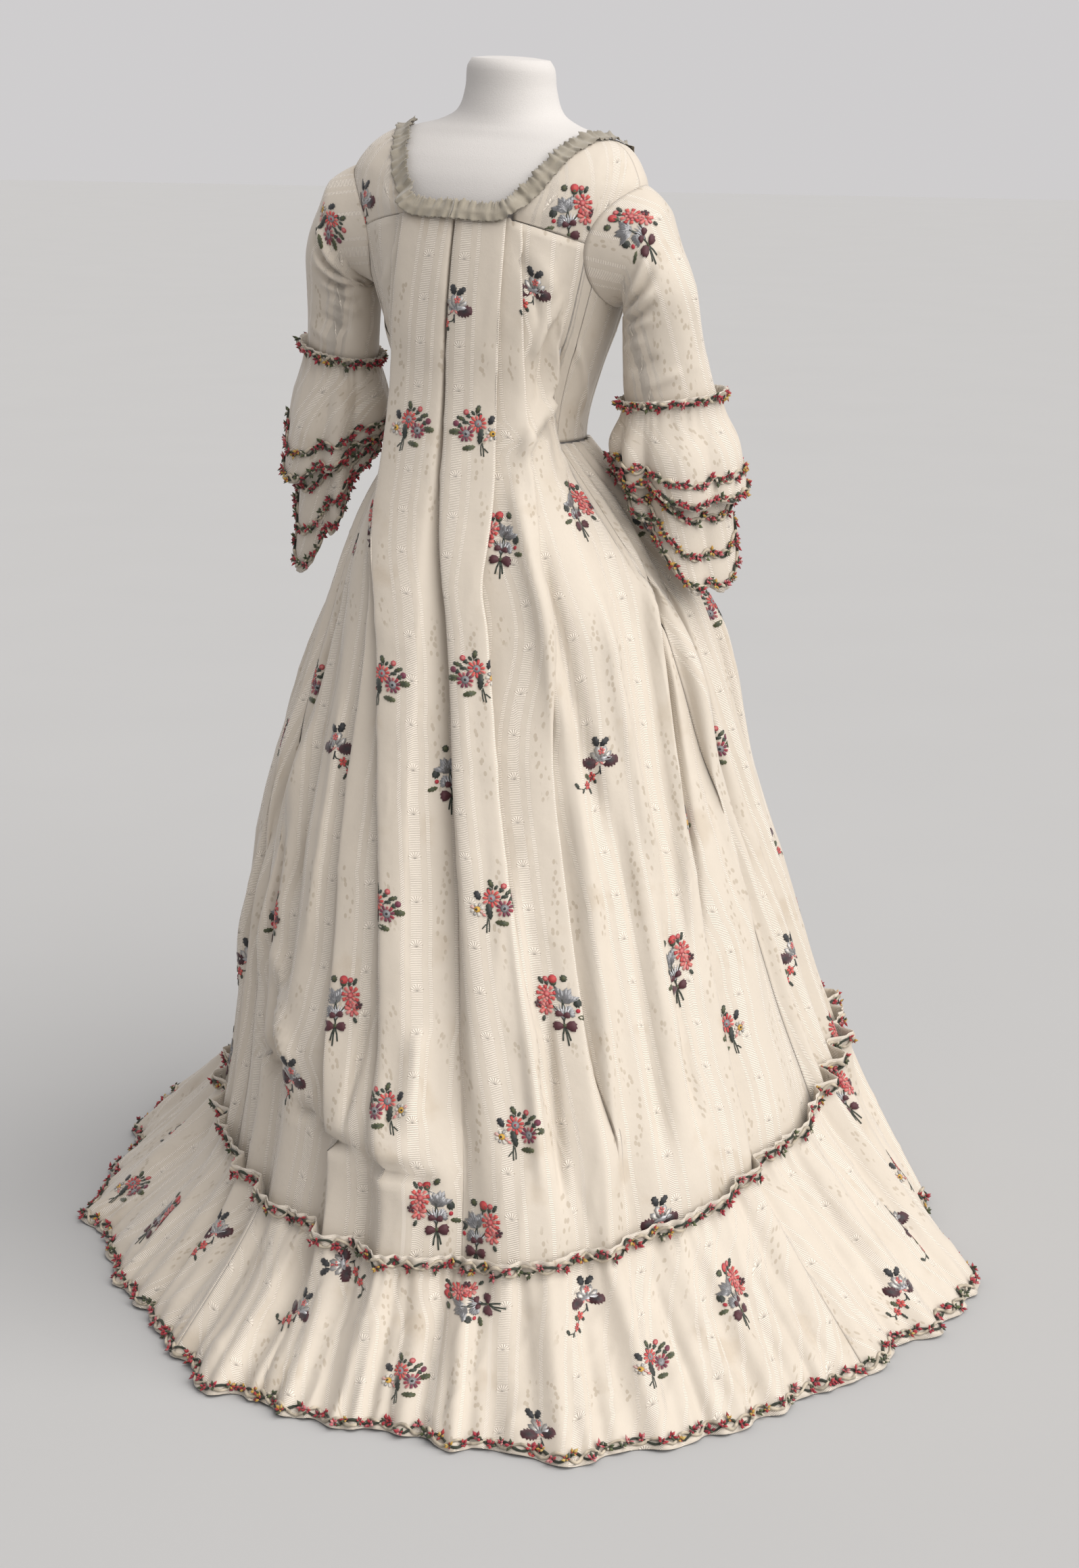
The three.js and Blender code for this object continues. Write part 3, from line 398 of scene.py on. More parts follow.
# ---- Creases and crumples --------------------------------------------------------------------------
def lattice(cells, seed):
    """Repeatable random numbers from -1 to 1 for whole cells."""
    n = cells[..., 0] * 127.1 + cells[..., 1] * 311.7 + cells[..., 2] * 74.7 + seed * 19.19
    s = np.sin(n) * 43758.5453
    return 2 * (s - np.floor(s)) - 1


def noise(points, size, seed):
    """Smooth noise with cells of a size in millimetres, a number for each direction."""
    p = points / np.array(size, float)
    cell = np.floor(p)
    t = ease(p - cell)
    total = 0
    for dx in (0, 1):
        for dy in (0, 1):
            for dz in (0, 1):
                weight = 1
                for axis, d in enumerate((dx, dy, dz)):
                    weight = weight * (t[..., axis] if d else 1 - t[..., axis])
                total = total + weight * lattice(cell + (dx, dy, dz), seed)
    return total


def crumple(points, amount=1.0):
    """Crisp small creases as in stiff silk: ridges where the noise changes sign."""
    fold = 1 - 2 * np.abs(noise(points, (70, 70, 150), 3))
    small = 1 - 2 * np.abs(noise(points, (34, 34, 52), 8))
    return amount * (2.4 * noise(points, (110, 110, 280), 5) + 1.5 * fold ** 3 + 0.7 * small ** 3)


# Folds and creases placed on the gown's outside: from one end to the other as an angle about the pole and a
# height, how wide and how high (+) or deep (-), and how far the line bows sideways.
CREASES = named("a0 z0 a1 z1 wide deep bow", [
    (-30, 1288, -56, 1188, 7, 7, 8),
    (-32, 1266, -47, 1165, 6, -5, 6),
    (-62, 1205, -42, 1118, 7, 6, -6),
    (-60, 1190, -50, 1070, 6, 6, 5),
    (-52, 1180, -46, 1075, 6, -5, 4),
    (-60, 1075, -34, 1012, 9, 8, -9),
    (-58, 1050, -38, 1000, 6, -6, -6),
    (-62, 1015, -50, 958, 8, 5, 5),
    (-30, 1010, -42, 640, 15, 9, 8),
    (-42, 700, -41, 170, 16, 12, 6),
    (-36, 940, -48, 560, 10, -7, 8),
    (-50, 640, -49, 190, 12, -9, 5),
    (-80, 930, -65, 400, 5, -13, 0),
    (-75.5, 930, -60.5, 400, 7, 10, 0),
    (-84, 900, -77, 330, 10, 9, 4),
    (-56, 1160, -50, 1040, 5, 6, 3),
    (-62, 1150, -57, 1040, 5, -6, 3),
    (-84, 960, -88, 420, 10, -8, 4),
    (-55, 880, -58, 500, 10, 7, -5),
    (-57, 520, -55, 230, 10, -8, 4),
    (-28, 560, -31, 200, 9, 7, 3),
    (-33, 420, -34, 190, 7, -6, 0),
    (26, 430, 8, 292, 13, 10, 8),
    (29, 322, 9, 268, 8, -11, -5),
    (10, 268, -7, 240, 7, -11, -3),
    (-5, 243, -19, 216, 7, -10, 3),
    (-4, 400, -3, 262, 7, -7, 0),
    (-13, 390, -13, 268, 16, 8, 0),
    (18, 760, 12, 420, 9, 6, 6),
    (24, 820, 22, 450, 10, -7, 4),
    (30, 700, 33, 350, 12, 8, 0),
    (40, 860, 44, 420, 11, -7, 5),
    (47, 700, 50, 300, 10, 8, 0),
    (31, 1280, 58, 1190, 8, 5, 6),
    (62, 1190, 48, 1090, 8, 5, -5),
    (58, 1060, 40, 1012, 8, 5, -5),
    (75, 900, 78, 380, 12, 8, 5),
    (92, 940, 95, 420, 11, -7, 5),
    (112, 900, 110, 360, 12, 7, 6),
    (-112, 900, -115, 380, 12, 8, 5),
    (140, 940, 145, 480, 13, 7, 5),
    (-138, 900, -142, 420, 13, -7, 5),
    (160, 860, 158, 380, 12, 6, 4),
    (-160, 900, -163, 420, 12, 6, 4),
    (66, 1180, 88, 1060, 6, 3, 4),
    (-66, 1150, -90, 1050, 6, 3, 4),
    (125, 1240, 150, 1150, 7, 2.5, 4),
    (-125, 1240, -150, 1150, 7, 2.5, 4),
])


def creases(points):
    """How far the listed folds move each point out."""
    angle = np.arctan2(points[..., 0], points[..., 1]) / RAD
    radius = np.hypot(points[..., 0], points[..., 1]) * RAD
    total = np.zeros(angle.shape)
    for row in CREASES:
        run_x, run_z = (row["a1"] - row["a0"]) * radius, row["z1"] - row["z0"]
        length2 = run_x ** 2 + run_z ** 2
        x = ((angle - row["a0"] + 180) % 360 - 180) * radius
        z = points[..., 2] - row["z0"]
        t = (x * run_x + z * run_z) / length2
        inside = np.clip(t, 0, 1)
        bow = row["bow"] * 4 * inside * (1 - inside)
        off = (x * run_z - z * run_x) / np.sqrt(length2) - bow
        past = (t - inside) * np.sqrt(length2)
        fade = ease(4 * inside) * ease(4 * (1 - inside))
        wide = 0.8 * row["wide"]
        total += 1.45 * row["deep"] * fade * np.exp(-((off / wide) ** 2) - (past / row["wide"]) ** 2)
    return total


# ---- Cloth -----------------------------------------------------------------------------------------
def grid_at(grid, s, t):
    """Value of a grid at broken column s and row t."""
    rows, columns = grid.shape[:2]
    i = np.clip(np.floor(s).astype(int), 0, columns - 2)
    j = np.clip(np.floor(t).astype(int), 0, rows - 2)
    fs, ft = s - i, t - j
    if grid.ndim == 3:
        fs, ft = fs[..., None], ft[..., None]
    top = mix(grid[j, i], grid[j, i + 1], fs)
    return mix(top, mix(grid[j + 1, i], grid[j + 1, i + 1], fs), ft)


def running(points, axis):
    """Length run along the grid's rows or columns."""
    step = np.linalg.norm(np.diff(points, axis=axis), axis=2)
    pad = [(1, 0), (0, 0)] if axis == 0 else [(0, 0), (1, 0)]
    return np.cumsum(np.pad(step, pad), axis=axis)


LAYING_STEPS, LAYING_STRIDE = 24, 0.8


class Cloth:
    """A piece of cloth as a grid of points. A ring's last column lies on its first."""

    def __init__(self, points, ring=False):
        self.ring = ring
        self.reshape(points)

    def reshape(self, points):
        self.points = points
        wide = np.concatenate([points[:, -2:-1], points, points[:, 1:2]], axis=1) if self.ring else points
        by_column = np.gradient(wide, axis=1)
        by_column = by_column[:, 1:-1] if self.ring else by_column
        normals = unit(np.cross(by_column, np.gradient(points, axis=0)))
        middle = points.mean(axis=1, keepdims=True) if self.ring else points * (0, 0, 1)
        outward = np.sign(np.sum(normals * (points - middle)))
        self.normals = normals * outward
        self.hand = -outward  # 1 where columns run to the right, seen from outside
        self.across = running(points, 1)
        self.down = running(points, 0)

    def moved(self, out):
        """Moves each point out along its normal by a number of millimetres."""
        self.reshape(self.points + self.normals * np.expand_dims(out, -1))
        return self

    def spot(self, s, t, out=0.0):
        return grid_at(self.points, s, t) + unit(grid_at(self.normals, s, t)) * np.expand_dims(out, -1)

    def find(self, across, down):
        """Column and row of a place given as lengths across and down the cloth, and how far off it lies."""
        off = np.hypot(self.across - across, self.down - down)
        row, column = np.unravel_index(np.argmin(off), off.shape)
        return float(column), float(row), float(off.min())

    def step(self, s, t, across, down):
        """Moves s and t by lengths across and down, and says where the cloth's edge stopped them."""
        rows, columns = self.points.shape[:2]
        wide = grid_at(np.gradient(self.across, axis=1), s, t)
        tall = grid_at(np.gradient(self.down, axis=0), s, t)
        s, t = s + across / np.maximum(wide, 0.05), t + down / np.maximum(tall, 0.05)
        kept = (np.clip(s, 0, columns - 1), np.clip(t, 0, rows - 1))
        return *kept, (kept[0] != s) | (kept[1] != t)

    def laid(self, s0, t0, x, y, out):
        """Points x to the right and y up from a place, laid on the cloth, and which of them missed it."""
        s, t = np.full(x.shape, s0), np.full(x.shape, t0)
        for _ in range(LAYING_STEPS):
            level, plumb = (np.full(x.shape, s0), t), (s, np.full(x.shape, t0))
            across = self.hand * x - grid_at(self.across, s, t) + grid_at(self.across, *level)
            down = -y - grid_at(self.down, s, t) + grid_at(self.down, *plumb)
            s, t, missed = self.step(s, t, LAYING_STRIDE * across, LAYING_STRIDE * down)
        return self.spot(s, t, out), missed


def finished(name, mesh, materials):
    """Puts a mesh into the scene as a piece of the part."""
    piece = bpy.data.objects.new(name, mesh)
    bpy.context.scene.collection.objects.link(piece)
    for material in materials:
        mesh.materials.append(material)
    mesh.polygons.foreach_set("use_smooth", [True] * len(mesh.polygons))
    return piece


def thicken(piece, thickness):
    """Gives a flat piece its wall, half to each side."""
    modifier = piece.modifiers.new("Solidify", "SOLIDIFY")
    modifier.thickness = thickness * MM
    modifier.offset = 0
    bpy.ops.object.select_all(action="DESELECT")
    piece.select_set(True)
    bpy.context.view_layer.objects.active = piece
    bpy.ops.object.modifier_apply(modifier=modifier.name)


CLOTHS = {}  # each piece's grid, its object and what it was cut to
LEAST_OF_CUT = 0.31  # the share of its flat cut that a shaped piece has at least


def sewn(name, cloth, material, node, anchors=((0, None, 0),), held="gathered", thickness=CLOTH):
    """Makes a piece of cloth. anchors are stretches of columns and the column that the weave runs along."""
    rows, columns = cloth.points.shape[:2]
    shown = columns - 1 if cloth.ring else columns
    index = np.arange(rows * shown).reshape(rows, shown)
    left, right = np.arange(columns - 1), np.arange(1, columns)
    corners = [(left, 0), (left, 1), (right, 1), (right, 0)]
    if cloth.hand > 0:
        corners.reverse()
    faces = np.stack([index[down:rows - 1 + down][:, side % shown] for side, down in corners], axis=-1)
    mesh = bpy.data.meshes.new(name)
    verts = cloth.points[:, :shown].reshape(-1, 3) * MM
    mesh.from_pydata(verts.tolist(), [], faces.reshape(-1, 4).tolist())
    uv = np.empty(faces.shape + (2,))
    for start, end, anchor in anchors:
        end = columns - 1 if end is None else end
        along_anchor = np.full(rows, float(anchor)), np.arange(rows, dtype=float)
        at = grid_at(cloth.across, *along_anchor) - REPEAT / MM / 2
        span = slice(start, end)
        for corner, (side, down) in enumerate(corners):
            width = cloth.across[down:rows - 1 + down] - at[down:rows - 1 + down, None]
            uv[:, span, corner, 0] = (cloth.hand * width)[:, side[span]] * MM
            uv[:, span, corner, 1] = -cloth.down[down:rows - 1 + down][:, side[span]] * MM
    layer = mesh.uv_layers.new(name="cut")
    layer.data.foreach_set("uv", uv.reshape(-1).astype(np.float32))
    piece = finished(name, mesh, [material])
    thicken(piece, thickness)
    points = cloth.points
    quads = np.cross(points[1:, 1:] - points[:-1, :-1], points[1:, :-1] - points[:-1, 1:])
    area = float(np.linalg.norm(quads, axis=2).sum() / 2) * MM ** 2
    width, length = float(cloth.across[:, -1].max()) * MM, float(cloth.down[-1].max()) * MM
    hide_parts(node)
    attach(piece, "root")
    whole = width * length
    cut = {"flat": (width, length), "area": min(max(area, LEAST_OF_CUT * whole), whole), "held": held}
    CLOTHS[name] = (cloth, piece, cut)


# ---- Materials -------------------------------------------------------------------------------------
class Shader:
    """A material's nodes, added by short calls. A value is a number, a colour or another node's socket."""

    def __init__(self, name, **sockets):
        self.material = bpy.data.materials.new(name)
        self.material.use_nodes = True
        self.tree = self.material.node_tree
        self.surface = self.tree.nodes["Principled BSDF"]
        self.feed(self.surface, sockets)

    def feed(self, node, sockets):
        for key, value in sockets.items():
            socket = node.inputs[key if isinstance(key, int) else key.replace("_", " ")]
            if isinstance(value, bpy.types.NodeSocket):
                self.tree.links.new(value, socket)
            else:
                socket.default_value = value

    def node(self, kind, sockets=None, **settings):
        node = self.tree.nodes.new("ShaderNode" + kind)
        for key, value in settings.items():
            setattr(node, key, value)
        self.feed(node, sockets or {})
        return node

    def math(self, operation, *values):
        return self.node("Math", dict(enumerate(values)), operation=operation).outputs[0]

    def band(self, value, low, high):
        """1 below low and 0 above high."""
        sockets = {"Value": value, "From Min": low, "From Max": high, "To Min": 1.0, "To Max": 0.0}
        return self.node("MapRange", sockets, interpolation_type="SMOOTHSTEP").outputs["Result"]

    def noise(self, vector, scale, detail=2.0):
        return self.node("TexNoise", {"Vector": vector, "Scale": scale, "Detail": detail}).outputs["Fac"]

    def blend(self, share, first, second):
        node = self.node("Mix", {"Factor": share}, data_type="RGBA")
        self.feed(node, {6: first, 7: second})
        return node.outputs[2]

    def bump(self, height, distance):
        sockets = {"Height": height, "Distance": distance, "Strength": 1.0}
        self.feed(self.surface, {"Normal": self.node("Bump", sockets).outputs["Normal"]})


def grey(value):
    return (value, value, value, 1)


def brocaded_silk():
    """Cream silk with ladder stripes of its own colour, small fans on the wide one and trailing leaves."""
    shader = Shader("brocaded_silk", Sheen_Weight=0.25, Sheen_Roughness=0.4)
    uv = shader.node("UVMap", uv_map="cut").outputs["UV"]
    place = shader.node("TexCoord").outputs["Object"]
    u, v = shader.node("SeparateXYZ", {"Vector": uv}).outputs[:2]
    x = shader.math("ABSOLUTE", shader.math("WRAP", u, REPEAT / 2, -REPEAT / 2))
    wide = shader.band(x, 0.0064, 0.0070)
    narrow = shader.band(shader.math("ABSOLUTE", shader.math("SUBTRACT", x, 0.0165)), 0.0020, 0.0025)
    lone = shader.band(shader.math("SUBTRACT", REPEAT / 2, x), 0.0024, 0.0029)
    ladders = shader.math("MAXIMUM", wide, shader.math("MAXIMUM", narrow, lone))
    ribs = shader.math("SINE", shader.math("MULTIPLY", v, 2 * math.pi / 0.0021))
    fan_y = shader.math("WRAP", v, 0.026, -0.026)
    fan_x = shader.math("WRAP", u, REPEAT / 2, -REPEAT / 2)
    reach = shader.math("SQRT", shader.math("ADD", shader.math("MULTIPLY", fan_x, fan_x),
                                            shader.math("MULTIPLY", fan_y, fan_y)))
    upper = shader.math("GREATER_THAN", fan_y, 0.0)
    fan = shader.math("MULTIPLY", shader.band(reach, 0.0078, 0.0086), upper)
    rays = shader.math("SINE", shader.math("MULTIPLY", shader.math("ARCTAN2", fan_y, fan_x), 15.0))
    woven = shader.node("Mix", {0: fan, 2: ribs, 3: rays}).outputs[0]
    raised = shader.math("MULTIPLY", woven, shader.math("MAXIMUM", ladders, fan))

    # trailing leaves in the plain ground
    bends = shader.math("SINE", shader.math("MULTIPLY", v, 2 * math.pi / 0.11))
    sway = shader.math("MULTIPLY", bends, 0.0055)
    vine = shader.math("ABSOLUTE", shader.math("SUBTRACT", shader.math("ADD", x, sway), 0.0325))
    near = shader.band(vine, 0.0040, 0.0075)
    leafy = shader.node("Mapping", {"Vector": uv, "Scale": (135.0, 88.0, 1.0)})
    leaf = shader.node("TexVoronoi", {"Vector": leafy.outputs[0], "Scale": 1.0}, voronoi_dimensions="2D")
    leaf = shader.band(leaf.outputs["Distance"], 0.24, 0.30)
    here = shader.band(shader.noise(uv, 9.0, 1.0), 0.46, 0.50)
    sprig = shader.math("MULTIPLY", shader.math("MULTIPLY", leaf, near), here)

    cloud = shader.noise(place, 5.0, 4.0)
    cloud = shader.math("MULTIPLY", cloud, 0.9)
    tone = shader.blend(cloud, (0.55, 0.492, 0.418, 1), (0.45, 0.395, 0.327, 1))
    stain = shader.band(shader.noise(place, 13.0, 6.0), 0.30, 0.42)
    tone = shader.blend(shader.math("MULTIPLY", stain, 0.3), tone, (0.36, 0.28, 0.19, 1))
    # painted highlight: the ladder stripes are lightened as a painted satin sheen, though their dye is the
    # ground's own colour
    painted_satin_sheen = shader.math("MULTIPLY", ladders, 0.85)
    tone = shader.blend(painted_satin_sheen, tone, (0.72, 0.655, 0.57, 1))
    # painted shade: the sunk grooves between the stripes' ribs and between the fans' rays are darkened
    painted_groove_shade = shader.math("GREATER_THAN", shader.math("MULTIPLY", raised, -1.0), 0.3)
    tone = shader.blend(shader.math("MULTIPLY", painted_groove_shade, 0.5), tone, (0.25, 0.20, 0.15, 1))
    tone = shader.blend(shader.math("MULTIPLY", sprig, 0.4), tone, (0.24, 0.18, 0.11, 1))
    rough = shader.node("MapRange", {"Value": ladders, "To Min": 0.62, "To Max": 0.46}).outputs[0]
    shader.feed(shader.surface, {"Base Color": tone, "Roughness": rough})
    weave = shader.math("MULTIPLY", shader.noise(uv, 2200.0, 1.0), 0.4)
    wrinkle = shader.math("MULTIPLY", shader.noise(place, 40.0, 5.0), 2.2)
    woven = shader.math("ADD", shader.math("MULTIPLY", raised, 0.5), weave)
    shader.bump(shader.math("ADD", woven, wrinkle), 0.0005)
    return shader.material


def gauze():
    shader = Shader("gauze", Roughness=0.9, Sheen_Weight=0.3)
    uv = shader.node("UVMap", uv_map="cut").outputs["UV"]
    place = shader.node("TexCoord").outputs["Object"]
    tone = shader.blend(shader.noise(place, 60.0, 3.0), (0.33, 0.295, 0.235, 1), (0.19, 0.165, 0.125, 1))
    shader.feed(shader.surface, {"Base Color": tone})
    shader.bump(shader.noise(uv, 900.0, 2.0), 0.0004)
    return shader.material


def jersey():
    shader = Shader("jersey", Roughness=0.92, Sheen_Weight=0.15)
    place = shader.node("TexCoord").outputs["Object"]
    tone = shader.blend(shader.noise(place, 4.0, 3.0), (0.47, 0.45, 0.435, 1), (0.53, 0.51, 0.49, 1))
    lint = shader.band(shader.noise(place, 90.0, 2.0), 0.24, 0.27)
    tone = shader.blend(shader.math("MULTIPLY", lint, 0.3), tone, (0.45, 0.42, 0.40, 1))
    shader.feed(shader.surface, {"Base Color": tone})
    knit = shader.node("Mapping", {"Vector": place, "Scale": (700.0, 700.0, 900.0)})
    shader.bump(shader.noise(knit.outputs[0], 1.0, 2.0), 0.0003)
    return shader.material


def painted_metal():
    shader = Shader("painted_metal", Metallic=0.3)
    place = shader.node("TexCoord").outputs["Object"]
    worn = shader.noise(place, 30.0, 4.0)
    shader.feed(shader.surface, {
        "Base Color": shader.blend(worn, (0.02, 0.02, 0.02, 1), (0.05, 0.048, 0.045, 1)),
        "Roughness": shader.node("MapRange", {"Value": worn, "To Min": 0.32, "To Max": 0.5}).outputs[0],
    })
    shader.bump(shader.noise(place, 400.0, 2.0), 0.0001)
    return shader.material


def thread(name, roughness, pitch, metallic=0.0):
    """Floats of coloured floss that run across the cloth."""
    shader = Shader(name, Metallic=metallic, Sheen_Weight=0.2)
    place = shader.node("TexCoord").outputs["Object"]
    colour = shader.node("Attribute", attribute_name="thread").outputs["Color"]
    fray = shader.noise(place, 1400.0, 2.0)
    dark = shader.node("VectorMath", {0: colour, 1: (0.55, 0.55, 0.55)}, operation="MULTIPLY").outputs[0]
    tone = shader.blend(fray, dark, colour)
    sockets = {"Value": fray, "To Min": roughness, "To Max": roughness + 0.2}
    dull = shader.node("MapRange", sockets).outputs[0]
    shader.feed(shader.surface, {"Base Color": tone, "Roughness": dull})
    lines = shader.node("Mapping", {"Vector": place, "Scale": (200.0, 200.0, 1 / pitch)})
    shader.bump(shader.noise(lines.outputs[0], 1.0, 2.0), 0.0003)
    return shader.material


SILK = brocaded_silk()
THREAD = thread("brocade_thread", 0.5, 0.0005)
SILVER_THREAD = thread("silver_thread", 0.3, 0.0006, 0.6)
FLOSS = thread("floss_and_chenille", 0.7, 0.0008)
GAUZE = gauze()
JERSEY = jersey()
PAINTED = painted_metal()

# ---- Skirts and pleated back -----------------------------------------------------------------------
UNDER_FLOUNCE = 14


def evenly(start, end, count):
    return np.linspace(start, end, count + 1)


def past_the_waist(points, weight):
    """The back hangs free, so it runs past the waist in one long curve."""
    points = points.copy()
    weight = 0.9 * weight * np.exp(-((points[1:-1, :, 2:] - WAIST) / 75) ** 2)
    for _ in range(60):
        points[1:-1] += weight * ((points[:-2] + points[2:]) / 2 - points[1:-1])
    return points


def skirt_panel(knots, side, top, columns, rows):
    """A panel hung from its knots, from its top edge down to just under the flounce."""
    k = evenly(0, len(knots) - 1, columns)[None, :]
    flat = np.full((1, columns + 1), float(HEM_LEVEL))
    low = header_height(side * section(knots, k, flat)[0]) - UNDER_FLOUNCE
    high = np.full_like(flat, SKIRT_TOP)
    if top:
        high = top(section(knots, k, np.full_like(flat, NECKLINE_BACK))[0])
    z = mix(high, low, evenly(0, 1, rows)[:, None])
    angle, lift = section(knots, np.broadcast_to(k, z.shape), z)
    points = gown(side * angle, z, lift)
    if top:
        points = past_the_waist(points, ease((len(knots) - 1 - k[..., None]) / 7))
    cloth = Cloth(points)
    edges = ease((len(knots) - 1 - k) / 1.5) * (1 if top else ease(k / 1.5))
    hang = ease((high - z) / 120) * ease((z - low) / 40)
    return cloth.moved(crumple(cloth.points) * edges * hang + creases(cloth.points) * hang)


YOKE = {"from": 21, "height": NECKLINE_BACK - 3, "to": ARMHOLE["angle"] - ARMHOLE["back"]}
SACK_SEAM = 0.8


def slant(angle):
    share = np.clip((angle - YOKE["from"]) / (YOKE["to"] - YOKE["from"]), 0, 1)
    return mix(YOKE["height"], ARMHOLE["height"], share)


def sack_top(angle):
    seam = np.where(angle <= YOKE["to"], slant(angle), armhole_edge(angle, False)) - SACK_SEAM
    return np.where(angle < YOKE["from"], NECKLINE_BACK - 1, seam)


COLUMNS_PER_KNOT, BACK_ROWS = 7, 108
SIDE_GRID, FRONT_GRID = 72, 60
LAST_KNOT = len(LEFT_PLEATS) - 1
# Stretches of the back between fold edges, each with the knot whose line its weave runs along.
WEAVE = [(0, 8, 5.5), (8, 16, 12.5), (16, LAST_KNOT, 19)]

for word, side in SIDES.items():
    knots = {1: LEFT_PLEATS, -1: RIGHT_PLEATS}[side]
    back = skirt_panel(knots, side, sack_top, LAST_KNOT * COLUMNS_PER_KNOT, BACK_ROWS)
    weave = [tuple(round(k * COLUMNS_PER_KNOT) for k in row) for row in WEAVE]
    sewn(f"pleated_back_half_{word}", back, SILK, "pleated_back", anchors=weave)
    for part, folds, grid in (("side", SIDE_FOLDS, SIDE_GRID), ("front", FRONT_FOLDS, FRONT_GRID)):
        panel = skirt_panel(folds, side, None, grid, grid)
        sewn(f"{part}_skirt_cloth_{word}", panel, SILK, f"{part}_skirt_{word}",
             anchors=[(0, None, grid // 2)])

# ---- Bodice ----------------------------------------------------------------------------------------
HALF_SEAM = 0.1
SHOULDER_SEAM = 83
STRAP_END = 112
SIDE_SEAM = 100
CENTRE_FRONT = 179.93


def neckline(angle):
    return along(NECKLINE, "a", "z", angle)


def bodice_piece(side, first, last, top, bottom, columns, rows, start=None):
    """A bodice piece between two angles and two edges. start moves its first edge at a height."""
    angles = evenly(first, last, columns)[None, :]
    share = evenly(0, 1, rows)[:, None]
    z = mix(top(angles), bottom(angles), share)
    if start:
        angles = angles + (start(z[:, :1]) - first) * (1 - (angles - first) / (last - first)) ** 3
    cloth = Cloth(figure(side * angles, z, bodice_ease(z)))
    rim = ease(share * 4) * ease((1 - share) * 4)
    return cloth.moved(np.maximum(0.5 * crumple(cloth.points) + creases(cloth.points), -1.5) * rim)


def yoke_edge(angle):
    return np.where(angle <= YOKE["to"], slant(angle), armhole_edge(angle, True))


def waist(angle):
    return np.full_like(angle, WAIST)


def front_start(z):
    reach = np.where(z > ARMHOLE["height"], ARMHOLE["up"], ARMHOLE["down"])
    t = (z - ARMHOLE["height"]) / reach
    edge = ARMHOLE["angle"] + ARMHOLE["front"] * np.sqrt(np.maximum(0, 1 - t * t))
    return np.maximum(edge, np.where(z > ARMHOLE["height"], STRAP_END, SIDE_SEAM) + HALF_SEAM)


for word, side in SIDES.items():
    bodice = {
        "back_yoke": bodice_piece(side, YOKE["from"] + 2 * HALF_SEAM, SHOULDER_SEAM - HALF_SEAM,
                                  neckline, yoke_edge, 44, 28),
        "shoulder_strap": bodice_piece(side, SHOULDER_SEAM + HALF_SEAM, STRAP_END - HALF_SEAM, neckline,
                                       lambda a: armhole_edge(a, True), 20, 20),
        "side_body": bodice_piece(side, SEAM_ANGLE + HALF_SEAM, SIDE_SEAM - HALF_SEAM,
                                  lambda a: armhole_edge(a, False), waist, 32, 44),
        "bodice_front": bodice_piece(side, STRAP_END + HALF_SEAM, CENTRE_FRONT,
                                     neckline, waist, 44, 56, front_start),
    }
    for name, cloth in bodice.items():
        middle = cloth.points.shape[1] // 2
        sewn(f"{name}_cloth_{word}", cloth, SILK, f"{name}_{word}",
             anchors=[(0, None, middle)], held="stretched")

# ---- Sleeves and cuffs -----------------------------------------------------------------------------
ON_BODICE = 0.9
ARMHOLE_LAP = 1.03


def armhole_point(turn):
    s, c = np.sin(turn * RAD), np.cos(turn * RAD)
    angle = ARMHOLE["angle"] - np.where(s > 0, ARMHOLE["back"], ARMHOLE["front"]) * ARMHOLE_LAP * s
    z = ARMHOLE["height"] + np.where(c > 0, ARMHOLE["up"], ARMHOLE["down"]) * ARMHOLE_LAP * c
    return figure_upright(angle, z, bodice_ease(z) + ON_BODICE)


def sleeve_point(side, turn, t, out):
    """A point on the sleeve: t runs from 0 at the armhole to SLEEVE_END. turn is from the top to the back."""
    turn, t, out = np.broadcast_arrays(*(np.asarray(v, float) for v in (turn, t, out)))
    x, y, z, tilt, forward, long, short = (
        along(SLEEVE, "t", key, t) for key in ("x", "y", "z", "out_angle", "forward", "long", "short"))
    tilt, forward = tilt * RAD, forward * RAD
    long_axis = stack(np.cos(tilt) * np.cos(forward), -np.cos(tilt) * np.sin(forward), np.sin(tilt))
    across = stack(np.sin(forward), np.cos(forward), 0)
    p = stack(x, y, z) + long_axis * ((long + out) * np.cos(turn * RAD))[..., None]
    p = p + across * ((short + out) * np.sin(turn * RAD))[..., None]
    p = mix(p, armhole_point(turn), np.clip(1 - t, 0, 1)[..., None])
    p[..., 0] *= side
    if side > 0:
        p[..., 2] += LEFT_SLEEVE_RAISE * ease((t - 1) / (SLEEVE_END - 1))
    return lean(p, 1)


# Folds of the sleeve: from one end to the other as a turn and a place t, how wide and how high or deep.
SLEEVE_CREASES = named("turn0 t0 turn1 t1 wide deep", [
    (60, 1.4, 130, 2.3, 8, 5.5),
    (66, 2.0, 145, 2.9, 7, -5.0),
    (72, 2.5, 155, 3.4, 7, 5.0),
    (80, 3.0, 150, 3.9, 6, -4.0),
    (90, 3.6, 165, 4.3, 8, 4.0),
    (150, 1.4, 190, 3.5, 9, -4.0),
    (110, 4.4, 175, 5.0, 7, 3.5),
    (95, 5.1, 160, 5.7, 6, -3.5),
    (70, 5.6, 140, 6.2, 7, 2.5),
    (215, 3.0, 280, 4.2, 9, 3.5),
    (230, 4.6, 300, 5.4, 8, -3.2),
    (300, 1.6, 340, 3.4, 10, -3.0),
    (10, 1.8, 30, 5.5, 10, 2.5),
    (340, 2.4, 20, 3.6, 8, -2.5),
])
TURN_LENGTH = 0.85  # millimetres of cloth for a degree round the sleeve
ROW_LENGTH = 32  # millimetres of cloth for one step of t


